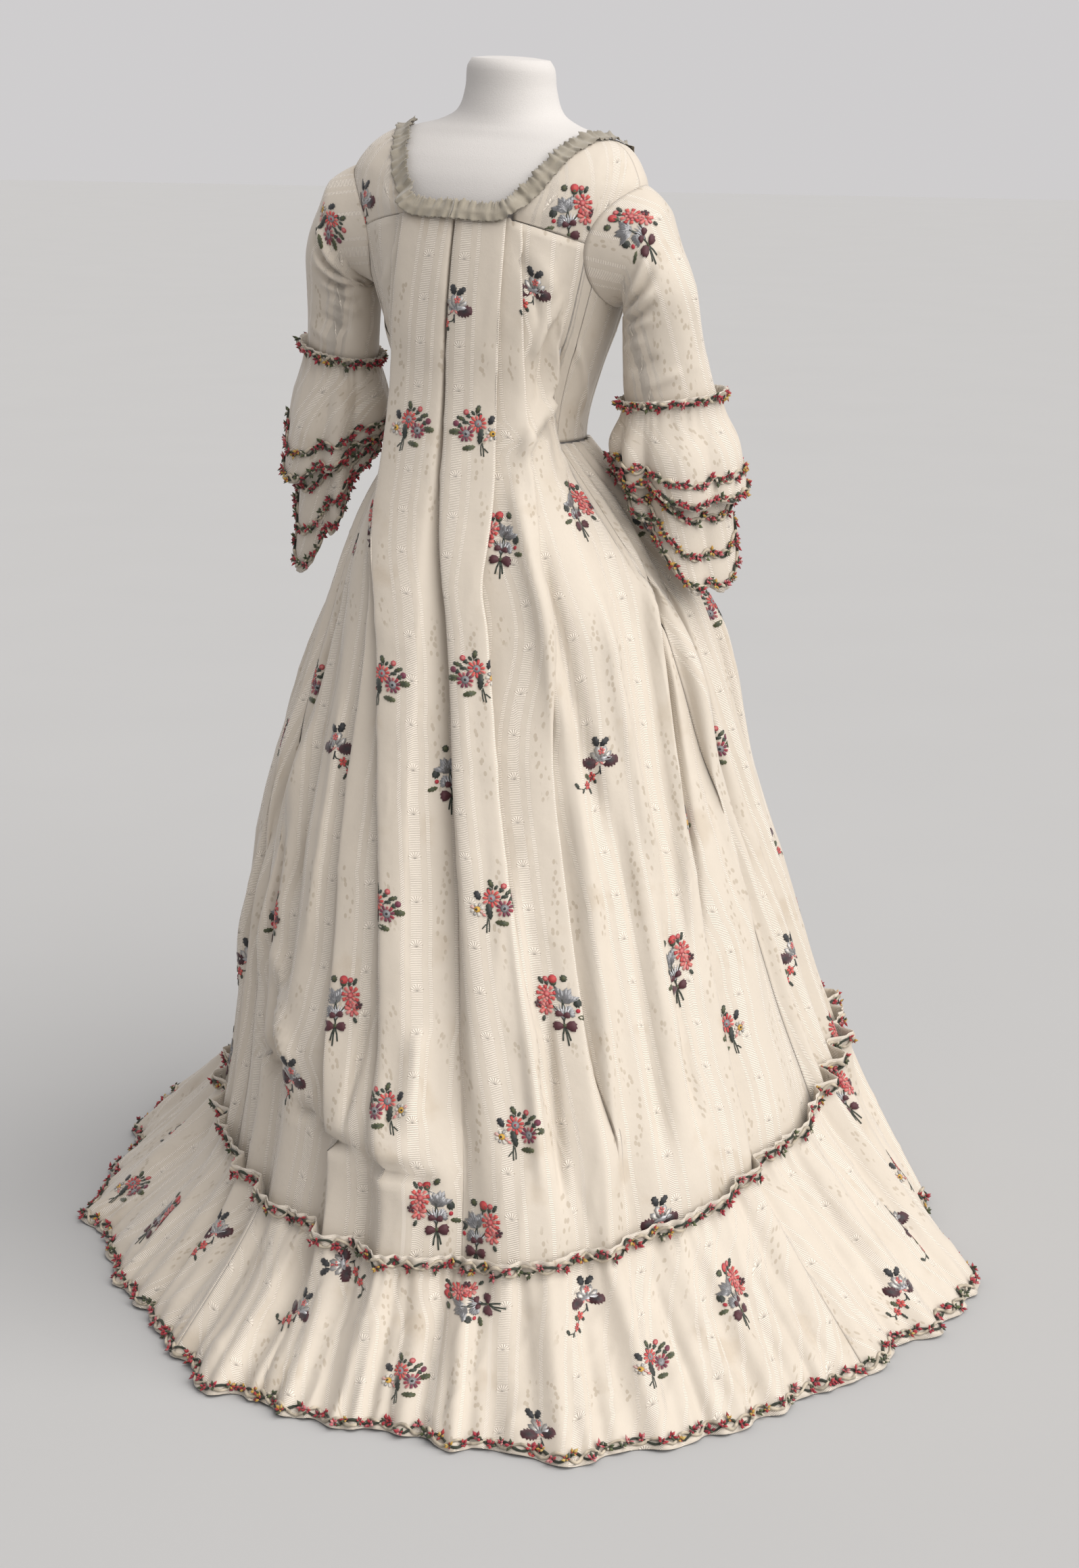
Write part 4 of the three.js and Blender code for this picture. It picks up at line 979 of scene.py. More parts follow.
def sleeve_creases(turn, t):
    total = np.zeros(np.broadcast(turn, t).shape)
    for row in SLEEVE_CREASES:
        run = np.array([(row["turn1"] - row["turn0"]) * TURN_LENGTH, (row["t1"] - row["t0"]) * ROW_LENGTH])
        x = ((turn - row["turn0"] + 180) % 360 - 180) * TURN_LENGTH
        y = (t - row["t0"]) * ROW_LENGTH
        share = np.clip((x * run[0] + y * run[1]) / (run @ run), 0, 1)
        off = np.hypot(x - share * run[0], y - share * run[1])
        fade = ease(3 * share) * ease(3 * (1 - share))
        total += 1.35 * row["deep"] * fade * np.exp(-((off / (0.85 * row["wide"])) ** 2))
    return total


SLEEVE_GRID = (84, 66)
SLEEVE_ANCHOR = 18
CUFF_GRID = (160, 32)
FRILL_ROWS = 4
FRILL_SHARE = 0.09  # the frill above the gathers, as a share of the cuff's drop


def sleeve(side):
    turn, t = evenly(0, 360, SLEEVE_GRID[0])[None, :], evenly(0, SLEEVE_END, SLEEVE_GRID[1])[:, None]
    outer = ((1 + np.cos(turn * RAD)) / 2) ** 2 * np.exp(-((t - 1.7) / 1.1) ** 2)
    cloth = Cloth(sleeve_point(side, turn, t, -(8 if side > 0 else 16) * outer), ring=True)
    loose = ease((t - 0.6) / 1.2) * ease((SLEEVE_END - t) / 0.6)
    return cloth.moved((0.7 * crumple(cloth.points) + sleeve_creases(turn, t)) * loose)


def cuff(side, row):
    """A gathered flounce hanging from the sleeve's end, with a frill above the gathers."""
    hang = CUFF_HANG[side]
    top_out = 1.6 + SEAM + 0.5 + row["layer"] * (1.6 + 0.5)
    turn = evenly(0, 360, CUFF_GRID[0])[None, :]
    above = evenly(-FRILL_SHARE, 0, FRILL_ROWS)[:-1] if row["frill"] else []
    down = np.concatenate([above, evenly(0, 1, CUFF_GRID[1])])[:, None]
    share = np.where(down < 0, 0, down)
    longest = ((1 + np.cos((turn - hang["longest"]) * RAD)) / 2) ** 2
    drop = mix(row["least"], row["drop"] + hang["extra"], longest)
    warped = turn + 12 * np.sin(2 * turn * RAD + 1) + 6 * np.sin(5 * turn * RAD)
    wave = 1 - np.abs(np.sin(warped * RAD * row["waves"] / 2)) ** 1.4
    drop = drop * (1 - 0.1 * wave)
    fine = np.sin(warped * RAD * 31 + 2 * np.sin(turn * RAD * 3)) * np.exp(-share * 6)
    ruffle = np.sin(turn * RAD * 47 + 3 * np.sin(turn * RAD * 4)) * ease((share - 0.93) / 0.07)
    above = np.clip(-down / FRILL_SHARE, 0, 1)
    swing = row["swing"] * ease(share * 2)
    out = top_out + row["flare"] * ease(share * 1.6) + 1.2 + swing * (1 - 1.2 * wave)
    fine = fine * (1 + above) + 1.5 * ruffle
    p = sleeve_point(side, turn, SLEEVE_END, out + 1.1 * fine + 0.35 * row["frill"] * above)
    p[..., 0] += side * CUFF_PUSH * (drop / row["drop"]) * share ** 2
    p[..., 2] += row["frill"] * above - drop * share
    cloth = Cloth(p, ring=True)
    loose = ease(share * 4) * ease((1 - share) * 6)
    return cloth.moved(0.8 * crumple(cloth.points) * loose)


for word, side in SIDES.items():
    sewn(f"sleeve_cloth_{word}", sleeve(side), SILK, f"sleeve_{word}",
         anchors=[(0, None, SLEEVE_ANCHOR)], held="stretched")
    for layer, row in CUFFS.items():
        sewn(f"cuff_cloth_{layer}_{word}", cuff(side, row), SILK, f"cuff_{layer}_{word}")

# ---- Neckline gauze --------------------------------------------------------------------------------
RUFFLE = {"waves": 62, "from": 0.15, "to": 178.2, "clear": 1.8, "pleats": 18, "pleats_end": 21}
COLUMNS_PER_WAVE = 6
RUFFLE_ROWS = named("rise flare on_pleats", [(-9, 2.2, 1), (1, 0.3, 0.96), (14, 2.6, 0.4)])


def neckline_angles(count):
    """Angles at even lengths along the neckline."""
    angles = evenly(RUFFLE["from"], RUFFLE["to"], 720)
    points = figure(angles, neckline(angles), 0)
    lengths = running(points[None], 1)[0]
    return np.interp(evenly(0, lengths[-1], count), lengths, angles)


def neck_ruffle(side):
    columns = RUFFLE["waves"] * COLUMNS_PER_WAVE
    angles = neckline_angles(columns)[None, :]
    off = bodice_ease(neckline(angles)) + RUFFLE["clear"]
    base = figure(side * angles, neckline(angles), off)
    normal = unit(figure(side * angles, neckline(angles), off + 1) - base)
    up = unit(np.cross(np.gradient(base, axis=1), normal)) * side
    row = evenly(0, len(RUFFLE_ROWS) - 1, 12)[:, None]
    levels = range(len(RUFFLE_ROWS))
    rise, flare, on_pleats = (
        np.interp(row, levels, column(RUFFLE_ROWS, key)) for key in ("rise", "flare", "on_pleats"))
    pleats = RUFFLE["pleats"] * (1 - ease((angles - RUFFLE["pleats_end"]) / 4))
    u = np.arange(columns + 1)[None, :] / COLUMNS_PER_WAVE
    uneven = u + 0.35 * np.sin(u * 0.9) + 0.2 * np.sin(u * 2.3)
    slanted = 0.62 * uneven + 0.22 * row * np.sin(u * 0.31)
    wave = (1 + np.cos(2 * np.pi * slanted)) * (0.75 + 0.35 * np.sin(u * 1.7 + 1))
    ragged = 1.5 * np.sin(u * 11.3) + 1.2 * np.sin(u * 4.7 + 2) + 1.0 * np.sin(u * 1.3)
    rise = rise + ragged * np.clip((row - 1), 0, 1) + 0.6 * ragged * np.clip((0.6 - row), 0, 1)
    points = base + up * rise[..., None] + normal * (flare * wave + pleats * on_pleats)[..., None]
    loose = np.clip(row - 0.7, 0, 1)[..., None]
    return Cloth(points + noise(points, (13, 13, 10), 21)[..., None] * normal * 1.5 * loose)


for word, side in SIDES.items():
    sewn(f"neck_gauze_{word}", neck_ruffle(side), GAUZE, f"neck_ruffle_{word}",
         thickness=GAUZE_THICKNESS)


# ---- Hem flounce -----------------------------------------------------------------------------------
def mirrored(knots):
    """The same fold edges on the other side, from the outermost to the middle."""
    def other(key, value):
        return -value if key[0] == "a" and value is not None else value

    return [{key: other(key, value) for key, value in row.items()} for row in knots[::-1]]


BACK_KNOTS = mirrored(RIGHT_PLEATS) + LEFT_PLEATS[1:]


def skirt_lift(angle, z):
    """The skirt's lift at a ring angle and height, between the knots there."""
    within = [abs(angle) <= knots[-1]["aH"] + 0.1 for knots in (BACK_KNOTS, SIDE_FOLDS)]
    knots = BACK_KNOTS if within[0] else SIDE_FOLDS if within[1] else FRONT_FOLDS
    place = angle if within[0] else abs(angle)
    levels = np.array([z], float)
    rows = [(knot_at(row, "a", levels)[0], knot_at(row, "l", levels)[0]) for row in knots]
    rising = [row for i, row in enumerate(rows) if all(other[0] < row[0] - 0.2 for other in rows[:i])]
    a, lift = (np.array(values) for values in zip(*rising))
    return float(curve(a, lift, np.array(place)))


# Stretches of the flounce: from one angle to the other, and how many columns they have.
FLOUNCE_STRETCHES = {
    "back": (-45, 45, 280),
    "left": (45, 135, 200),
    "right": (-135, -45, 270),
    "front": (135, 225, 180),
}
FRILL_STEPS, FLOUNCE_ROWS = 5, 40


def flounce_waves(angle):
    """The flounce's gathers, its deep folds, its shirring and the scallops of its hem."""
    phase = angle / 360 * FLOUNCE["waves"] * 2 * np.pi
    gathers = np.sin(phase + 0.9 * np.sin(phase * 0.31 + 1))
    broad = np.sin(phase * 0.42 + 1.5 * np.sin(phase * 0.13 + 0.7))
    broad = broad * (0.65 + 0.35 * np.sin(phase * 0.17 + 2))
    folds = 0.7 * broad + 0.3 * np.sin(phase * 0.9 + 1.2 * np.sin(phase * 0.21))
    folds = np.sign(folds) * np.abs(folds) ** 0.75
    fine = np.sin(phase * 3 + 1.3 * np.sin(phase * 0.37)) * (0.7 + 0.3 * np.sin(phase * 0.6))
    scallop = np.sin(phase * 1.9 + 1.1 * np.sin(phase * 0.5))
    return np.stack([gathers, folds, fine, scallop])


def flounce(start, end, columns):
    """A stretch of the hem flounce: a frill above the gathers, then down and out to the floor."""
    angle = evenly(start + 0.04, end - 0.04, columns)
    ring = np.where(angle > 180, angle - 360, angle)
    z = header_height(ring)
    joined = ease((angle - 180) / 45)  # the ring closes where the last stretch meets the first
    gathers, folds, fine, scallop = mix(flounce_waves(angle), flounce_waves(angle - 360), joined)
    off = 1.6 + FLOUNCE["clear"] + FLOUNCE["gather"] * (1 + gathers)
    lift = np.array([skirt_lift(a, h) for a, h in zip(ring, z)])
    lift_up = np.array([skirt_lift(a, h + FLOUNCE["frill"]) for a, h in zip(ring, z)])
    gather = gown(ring, z, lift + off)
    frill = gown(ring, z + FLOUNCE["frill"], lift_up + off + FLOUNCE["frill_out"])
    world = np.arctan2(gather[:, 0], gather[:, 1])
    reach = along(HEM, "a", "out", world / RAD) + FLOUNCE["hem"] * folds + 3 * scallop
    hem = stack(np.sin(world) * reach, np.cos(world) * reach, 2.2 + 1.4 * scallop)
    out = unit(stack(np.sin(world), np.cos(world), 0))
    rows = []
    for share in evenly(1, 0, FRILL_STEPS)[:-1]:
        p = mix(gather, frill, share)
        rows.append(p + out * ((1.2 + 1.8 * share) * fine)[:, None])
    for down in evenly(0, 1, FLOUNCE_ROWS):
        p = mix(gather, hem, down)
        p[:, 2] -= FLOUNCE["sag"] * math.sin(math.pi * down) * (1 - down)
        middle = math.sin(math.pi * min(1, down * 1.2)) * (1 - down)
        out_by = 2.0 * fine * math.exp(-7 * down) + 17 * (folds - 0.3) * middle
        rows.append(p + out * out_by[:, None])
    cloth = Cloth(np.stack(rows))
    down = np.concatenate([np.zeros(FRILL_STEPS), evenly(0, 1, FLOUNCE_ROWS)])[:, None]
    loose = ease(down * 3) * ease((1 - down) * 5) * ease((angle - start) / 3) * ease((end - angle) / 3)
    move = (1.6 * crumple(cloth.points) + creases(cloth.points)) * loose
    return cloth.moved(np.maximum(move, -0.6 * cloth.points[..., 2]))


for word, stretch in FLOUNCE_STRETCHES.items():
    cloth = flounce(*stretch)
    middle = cloth.points.shape[1] // 2
    sewn(f"hem_flounce_cloth_{word}", cloth, SILK, f"hem_flounce_{word}",
         anchors=[(0, None, middle)])


# ---- Brocaded flowers ------------------------------------------------------------------------------
RED, CORAL, PINK = (0.42, 0.012, 0.028), (0.60, 0.075, 0.06), (0.62, 0.22, 0.20)
MAROON, PLUM, INK = (0.07, 0.006, 0.014), (0.16, 0.02, 0.05), (0.010, 0.011, 0.014)
GREEN, OLIVE = (0.022, 0.032, 0.018), (0.075, 0.085, 0.022)
GOLD, BRIGHT_GOLD = (0.50, 0.27, 0.03), (0.7, 0.42, 0.04)
WHITE, STEEL = (0.60, 0.56, 0.50), (0.16, 0.16, 0.17)
SILVER, PALE_SILVER = (0.34, 0.34, 0.35), (0.5, 0.5, 0.52)


def turned(points, x, y, angle):
    c, s = math.cos(angle * RAD), math.sin(angle * RAD)
    return [(x + px * c - py * s, y + px * s + py * c) for px, py in points]


class Bouquet:
    """A brocaded flower spray as flat patches of thread: their outlines in millimetres, and their colours."""

    def __init__(self):
        self.patches = []

    def patch(self, outline, edge, middle=None, silver=False):
        self.patches.append((np.array(outline, float), edge, middle or edge, silver))

    def petals(self, x, y, inner, outer, count, edges, middle):
        for i in range(count):
            angle = 360 * (i + 0.3) / count
            wide = math.pi * outer / count * 1.05
            reach = outer * (1 + 0.08 * math.sin(i * 2.4))
            belly = mix(inner, reach, 0.6)
            petal = [(inner, -0.25 * wide), (belly, -0.5 * wide), (reach * 0.96, -0.36 * wide),
                     (reach * 0.88, 0), (reach * 0.98, 0.3 * wide), (belly, 0.5 * wide), (inner, 0.25 * wide)]
            self.patch(turned(petal, x, y, angle), edges[i % len(edges)], middle)

    def disc(self, x, y, radius, edge, middle=None, count=10):
        turns = [360 * i / count * RAD for i in range(count)]
        self.patch([(x + radius * math.cos(a), y + radius * math.sin(a)) for a in turns], edge, middle)

    def leaf(self, x, y, length, width, angle, edge, middle=None, teeth=3, silver=False):
        """A leaf with a toothed edge from its stalk at x, y."""
        half = []
        for i in range(teeth):
            t = (i + 0.55) / teeth
            w = width / 2 * math.sin(math.pi * min(0.92, 0.12 + t * 0.8)) ** 0.7
            half += [(length * (t + 0.10), w * 1.12), (length * (t + 0.13), w * 0.72)]
        outline = [(0, 0.06 * width)] + half + [(length * 1.08, 0)] + [(px, -py) for px, py in half[::-1]]
        self.patch(turned(outline + [(0, -0.06 * width)], x, y, angle), edge, middle, silver)

    def bud(self, x, y, length, angle, colour, calyx=GREEN):
        self.leaf(x, y, length * 0.62, length * 0.5, angle, calyx, teeth=1)
        tip = turned([(length * 0.75, 0)], x, y, angle)[0]
        self.disc(*tip, length * 0.3, colour, PINK if colour == RED else None, 8)

    def stem(self, points, width, colour, silver=False):
        for (ax, ay), (bx, by) in zip(points, points[1:]):
            length = math.hypot(bx - ax, by - ay)
            ends = [(0, -width / 2), (length, -width / 2), (length, width / 2), (0, width / 2)]
            self.patch(turned(ends, ax, ay, math.atan2(by - ay, bx - ax) / RAD), colour, None, silver)

    def lobe(self, x, y, reach, high, angle, colour):
        """Half of a bow, ragged at its far end."""
        ragged = ((0.5, -0.5), (0.85, -0.55), (0.9, -0.3), (1.05, -0.2), (0.95, 0.05), (1.06, 0.2),
                  (0.9, 0.34), (0.85, 0.52), (0.45, 0.5))
        outline = [(0, -1)] + [(reach * px, high * py) for px, py in ragged] + [(0, 1)]
        self.patch(turned(outline, x, y, angle), colour)


def anemones():
    """Two anemones and a small yellow flower with buds and leaves."""
    spray = Bouquet()
    spray.stem([(-12, -14), (-14, -22), (-15, -31)], 1.6, GREEN)
    spray.stem([(-11, -16), (-11, -24), (-12, -30)], 1.3, GREEN)
    spray.stem([(-15, -21), (-20, -26)], 1.4, GREEN)
    spray.stem([(-2, 14), (5, 18), (9, 22)], 1.1, GREEN)
    spray.stem([(-5, 15), (-4, 21), (-4, 24)], 1.0, GREEN)
    spray.stem([(2, 6), (10, 11), (15, 15)], 1.0, GREEN)
    spray.leaf(-4, 21, 10, 6.5, 108, GREEN, OLIVE)
    spray.leaf(-5, 19, 5.5, 4, 165, GREEN)
    spray.leaf(-2, 19, 6, 4, 48, GREEN)
    spray.bud(4, 15, 12, 55, RED)
    spray.leaf(10, 13, 11, 5.5, 18, GREEN, OLIVE)
    spray.leaf(5, 10, 8, 4.5, 0, GREEN)
    spray.bud(13, 4, 13, 28, PLUM)
    spray.leaf(15, -1, 14, 8, -4, OLIVE, GREEN, teeth=4)
    spray.leaf(-20, 8, 11, 8, 112, INK)
    spray.leaf(-4, -19, 15, 7, -12, OLIVE, GREEN, teeth=4)
    spray.petals(-24, -3, 3, 8.5, 8, (WHITE, STEEL, WHITE, PINK), WHITE)
    spray.disc(-24, -3, 3.8, GOLD, BRIGHT_GOLD)
    spray.disc(-25, -3, 1.5, INK)
    spray.petals(-6.3, 8.9, 3.5, 11.5, 11, (RED, CORAL, PINK, RED), CORAL)
    spray.disc(-6.3, 8.9, 4.8, STEEL, SILVER)
    spray.disc(-6.3, 8.9, 1.9, RED)
    spray.petals(8, -4, 3.5, 10.8, 10, (PLUM, RED, PINK, PLUM), PLUM)
    spray.disc(8, -4, 5.0, STEEL, SILVER)
    spray.disc(8, -4, 1.8, INK)
    spray.leaf(-9, -16, 18, 8, 96, GREEN, INK, teeth=4)
    spray.leaf(-14, -12, 6, 3.5, 140, PINK, teeth=1)
    return spray


def rose_and_sheaf():
    """A rose with buds, a silver sheaf and a dark bow on the stems."""
    spray = Bouquet()
    for end in ((-4.5, -36), (-1.5, -42), (4.5, -36)):
        spray.stem([(0, -19), (end[0] * 0.7, -28), end], 1.9, GREEN)
    spray.stem([(0, -19), (0, -2), (-2, 14)], 1.6, GREEN)
    spray.stem([(0, -12), (5, -2), (10, 6)], 1.3, GREEN)
    spray.stem([(0, -14), (-4, -4), (-8, 4)], 1.3, GREEN)
    spray.leaf(-5, 33, 8, 9, 115, GREEN, OLIVE)
    spray.leaf(18, 31, 9, 5, 65, GREEN)
    spray.leaf(-14, 6, 9, 11, 170, GREEN, INK)
    spray.leaf(-17, -9, 12, 6, 196, OLIVE, GREEN)
    for i in range(9):
        spray.leaf(-2, 8, 17 + 3 * math.sin(i * 1.7), 6, 60 + 13 * i, SILVER, STEEL, 2, silver=True)
    for i in range(5):
        spray.leaf(-3, -4, 11, 5.5, 130 + 17 * i, SILVER, STEEL, 2, silver=True)
    for i in range(6):
        spray.leaf(0, -10, 17, 2.6, 52 + 15 * i, PALE_SILVER, SILVER, 1, silver=True)
    spray.stem([(-1, -8), (-3, 4), (-1, 12)], 1.1, GREEN)
    spray.stem([(5, 26), (6, 34)], 1.2, GREEN)
    spray.disc(6, 33, 4.2, GREEN, OLIVE, 8)
    spray.disc(6, 37, 5.2, RED, CORAL)
    spray.bud(13, 29, 11, 80, RED)
    spray.disc(-18, -2, 2.6, RED)
    spray.petals(19, 3, 1.5, 9.5, 7, (CORAL, PINK, RED), PINK)
    spray.petals(16, 19, 6, 12.5, 9, (RED, CORAL, RED, PINK), CORAL)
    spray.petals(16, 19, 2, 8, 7, (CORAL, RED, PINK), PINK)
    spray.disc(15.5, 19, 3.6, RED, PINK)
    spray.petals(27, 8, 0.5, 5, 5, (INK, MAROON, RED), MAROON)
    spray.leaf(22, -6, 7, 4.5, -60, GREEN)
    spray.lobe(0, -7, -8, 7, -10, MAROON)
    spray.lobe(0, -6, 9, 7, 22, MAROON)
    spray.lobe(0, -19, -14, 12, 2, MAROON)
    spray.lobe(0, -19, 13, 10, 6, MAROON)
    spray.disc(0, -18, 2.2, OLIVE, GREEN, 8)
    return spray


def trailing_sprig():
    """A silver flower between dark leaves, with a trail of red florets."""
    spray = Bouquet()
    trail = [(4, -10), (2, -14), (-5, -16), (-12, -22), (-19, -29), (-27, -33), (-36, -31)]
    spray.stem([(4, -6), (4.5, -16)], 1.6, INK)
    spray.stem(trail, 1.3, GREEN)
    spray.leaf(3, 17, 12, 9, 108, INK)
    spray.leaf(6, 17, 13, 8, 40, INK)
    spray.leaf(1, -3, 20, 15, 172, MAROON, INK, teeth=5)
    spray.leaf(6, -3, 20, 15, 8, MAROON, INK, teeth=5)
    for shape in ((3, 0, 14, 7, 132), (4, 2, 15, 8, 100), (6, 1, 16, 7, 66), (7, 0, 15, 6, 38)):
        spray.leaf(*shape, SILVER, WHITE, 2, silver=True)
    spray.leaf(-4, 0, 22, 6, 6, PALE_SILVER, SILVER, 3, silver=True)
    spray.petals(7, 11, 0.8, 4.6, 5, (CORAL, RED), PINK)
    spray.leaf(3, -1, 6, 3, 220, PINK, teeth=1)
    spray.leaf(4, -1, 6, 3, 320, PINK, teeth=1)
    spray.leaf(-12, -20, 9, 7, 150, OLIVE, GREEN)
    spray.leaf(-5, -20, 6, 4.5, 290, GREEN)
    spray.leaf(-16, -30, 9, 4, 300, GREEN)
    spray.leaf(-26, -32, 6, 3, 240, GREEN)
    spray.leaf(-34, -31, 7, 4, 120, GREEN)
    spray.petals(-8, -17.5, 0.8, 6, 5, (CORAL, RED), CORAL)
    spray.petals(-19, -28, 0.8, 5.4, 5, (RED, CORAL), CORAL)
    return spray


KINDS = {"anemones": anemones(), "rose": rose_and_sheaf(), "sprig": trailing_sprig()}
THREAD_THICKNESS = 0.25
THREAD_LIFT, THREAD_STEP = 0.35, 0.012  # above the silk, and each patch above the one before
FARTHEST_OFF = 25  # a spray whose place lies farther off its piece is left out

# Where the sprays lie: millimetres across and down the piece, their kind, turn and whether they are mirrored.
SPRAYS = {
    "pleated_back_half_left": [
        (50, 258, "anemones", 0, 0),
        (79, 586, "anemones", 0, 0),
        (96, 856, "anemones", 0, 0),
        (98, 1092, "anemones", 0, 1),
        (183, 979, "rose", 0, 0),
        (254, 670, "sprig", 0, 1),
        (5, 692, "rose", 0, 0),
        (32, 1198, "rose", 4, 1),
        (156, 388, "rose", 0, 0),
        (170, 200, "sprig", 0, 0),
        (250, 420, "anemones", 0, 1),
        (330, 300, "sprig", 0, 0),
        (372, 560, "anemones", 0, 0),
        (400, 880, "rose", 0, 0),
        (300, 1080, "sprig", 0, 0),
    ],
    "pleated_back_half_right": [
        (53, 249, "anemones", 0, 1),
        (51, 553, "anemones", 0, 1),
        (134, 398, "rose", 0, 1),
        (73, 831, "anemones", 0, 0),
        (81, 1096, "anemones", 0, 0),
        (22, 1222, "rose", -4, 0),
        (301, 353, "rose", 0, 0),
        (199, 948, "rose", 0, 1),
        (408, 922, "rose", 0, 0),
        (480, 715, "anemones", 0, 0),
        (474, 978, "anemones", 0, 1),
        (167, 80, "sprig", 0, 0),
        (293, 674, "sprig", 0, 0),
        (255, 1211, "sprig", 0, 0),
        (18, 112, "sprig", 0, 0),
    ],
    "back_yoke_cloth_right": [(66, 94, "rose", 8, 0)],
    "back_yoke_cloth_left": [(88, 112, "sprig", 10, 0)],
    "sleeve_cloth_right": [
        (64, 54, "rose", 0, 0),
        (250, 150, "anemones", 0, 0),
    ],
    "sleeve_cloth_left": [
        (90, 60, "anemones", 0, 0),
        (260, 140, "rose", 0, 0),
    ],
    "hem_flounce_cloth_back": [
        (452, 55, "rose", 90, 0),
        (270, 165, "anemones", 0, 0),
        (620, 149, "anemones", 10, 0),
        (770, 98, "sprig", 0, 0),
        (633, 40, "sprig", 110, 0),
        (475, 215, "sprig", 20, 0),
        (120, 120, "rose", 0, 0),
        (306, 62, "sprig", 0, 0),
    ],
    "hem_flounce_cloth_right": [
        (555, 53, "rose", 10, 0),
        (570, 165, "anemones", 0, 0),
        (727, 202, "sprig", 20, 0),
        (860, 232, "sprig", 0, 0),
        (300, 150, "rose", 0, 0),
        (120, 90, "anemones", 0, 0),
    ],
}


def half_drop(start, step, count, kinds):
    """Sprays in half-drop rows for a piece that has no sprays listed one by one."""
    rows = []
    for i in range(count[0]):
        for j in range(count[1]):
            drop = step[1] / 2 * (i % 2)
            across, down = start[0] + i * step[0], start[1] + j * step[1] + drop
            rows.append((across, down, kinds[(i + j) % len(kinds)], 0, i % 2))
    return rows


for word in SIDES:
    for part, start, kinds in (
        ("side_skirt", (80, 130), ("rose", "anemones", "sprig")),
        ("front_skirt", (70, 180), ("sprig", "rose", "anemones")),
    ):
        SPRAYS[f"{part}_cloth_{word}"] = half_drop(start, (120, 290), (4, 3), kinds)
    SPRAYS[f"bodice_front_cloth_{word}"] = half_drop((60, 70), (90, 140), (2, 2), ("anemones", "rose"))
SPRAYS["hem_flounce_cloth_left"] = [
    (89, 90, "sprig", 20, 0),
    (416, 200, "anemones", 10, 0),
    (506, 124, "sprig", -20, 1),
    (260, 150, "rose", 0, 0),
    (640, 80, "rose", 0, 1),
    (760, 170, "sprig", 0, 0),
]
SPRAYS["hem_flounce_cloth_front"] = half_drop((110, 60), (210, 130), (5, 2), ("sprig", "anemones", "rose"))


def smooth_lie(*triangles):
    """Whether a flat triangle keeps about its sides where it is laid over a fold."""
    before, after = (np.linalg.norm(side - np.roll(side, 1, axis=0), axis=1) for side in triangles)
    return bool(np.all(after < 1.5 * before + 0.8))


def brocade(name, cloth, sprays):
    """Lays the sprays of one piece of cloth as thin patches of thread."""
    verts, faces, colours, silver = [], [], [], []
    for spray in named("across down kind turn flip", sprays):
        s0, t0, off = cloth.find(spray["across"], spray["down"])
        if off > FARTHEST_OFF:
            continue
        patches = KINDS[spray["kind"]].patches
        flip = (-1, 1) if spray["flip"] else (1, 1)
        turns = [np.array(turned(row[0] * flip, 0, 0, spray["turn"])) for row in patches]
        flats = [np.vstack([outline.mean(axis=0), outline]) for outline in turns]
        order = np.repeat(np.arange(len(flats)), [len(flat) for flat in flats])
        flat = np.vstack(flats)
        height = CLOTH / 2 + THREAD_LIFT + THREAD_STEP * order + THREAD_THICKNESS / 2
        points, missed = cloth.laid(s0, t0, flat[:, 0], flat[:, 1], height)
        start = 0
        for (outline, edge, middle, is_silver), own in zip(patches, flats):
            count = len(outline)
            colours += [middle] + [edge] * count
            for i in range(count):
                corners = [start, start + 1 + i, start + 1 + (i + 1) % count]
                if not missed[corners].any() and smooth_lie(flat[corners], points[corners]):
                    faces.append([len(verts) + n for n in corners])
                    silver.append(int(is_silver))
            start += len(own)
        verts += (points * MM).tolist()
    used = sorted({n for face in faces for n in face})
    place = {n: i for i, n in enumerate(used)}
    mesh = bpy.data.meshes.new(name)
    mesh.from_pydata([verts[n] for n in used], [], [[place[n] for n in face] for face in faces])
    layer = mesh.color_attributes.new("thread", "FLOAT_COLOR", "POINT")
    layer.data.foreach_set("color", [v for n in used for v in (*colours[n], 1.0)])
    face_right_way(mesh, cloth)
    piece = finished(name, mesh, [THREAD, SILVER_THREAD])
    mesh.polygons.foreach_set("material_index", silver)
    thicken(piece, THREAD_THICKNESS)
    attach(piece, "root")
    return piece


def face_right_way(mesh, cloth):
    """Turns triangles whose normals point into the cloth."""
    middles = np.array([p.center for p in mesh.polygons]) / MM
    normals = np.array([p.normal for p in mesh.polygons])
    grid = cloth.points.reshape(-1, 3)
    outward = cloth.normals.reshape(-1, 3)
    tree = mathutils.kdtree.KDTree(len(grid))
    for i, point in enumerate(grid):
        tree.insert(point, i)
    tree.balance()
    near = [tree.find(point)[1] for point in middles]
    wrong = np.sum(normals * outward[near], axis=1) < 0
    for polygon, turn in zip(mesh.polygons, wrong):
        if turn:
            polygon.flip()


# ---- Trimmings -------------------------------------------------------------------------------------
CORD_STEP = 4.2
CORD_RADIUS = 1.6
CORD_SIDES = 6
TUFT_LEAVES = 6
LEAF_SIZE = (5.0, 9.5)


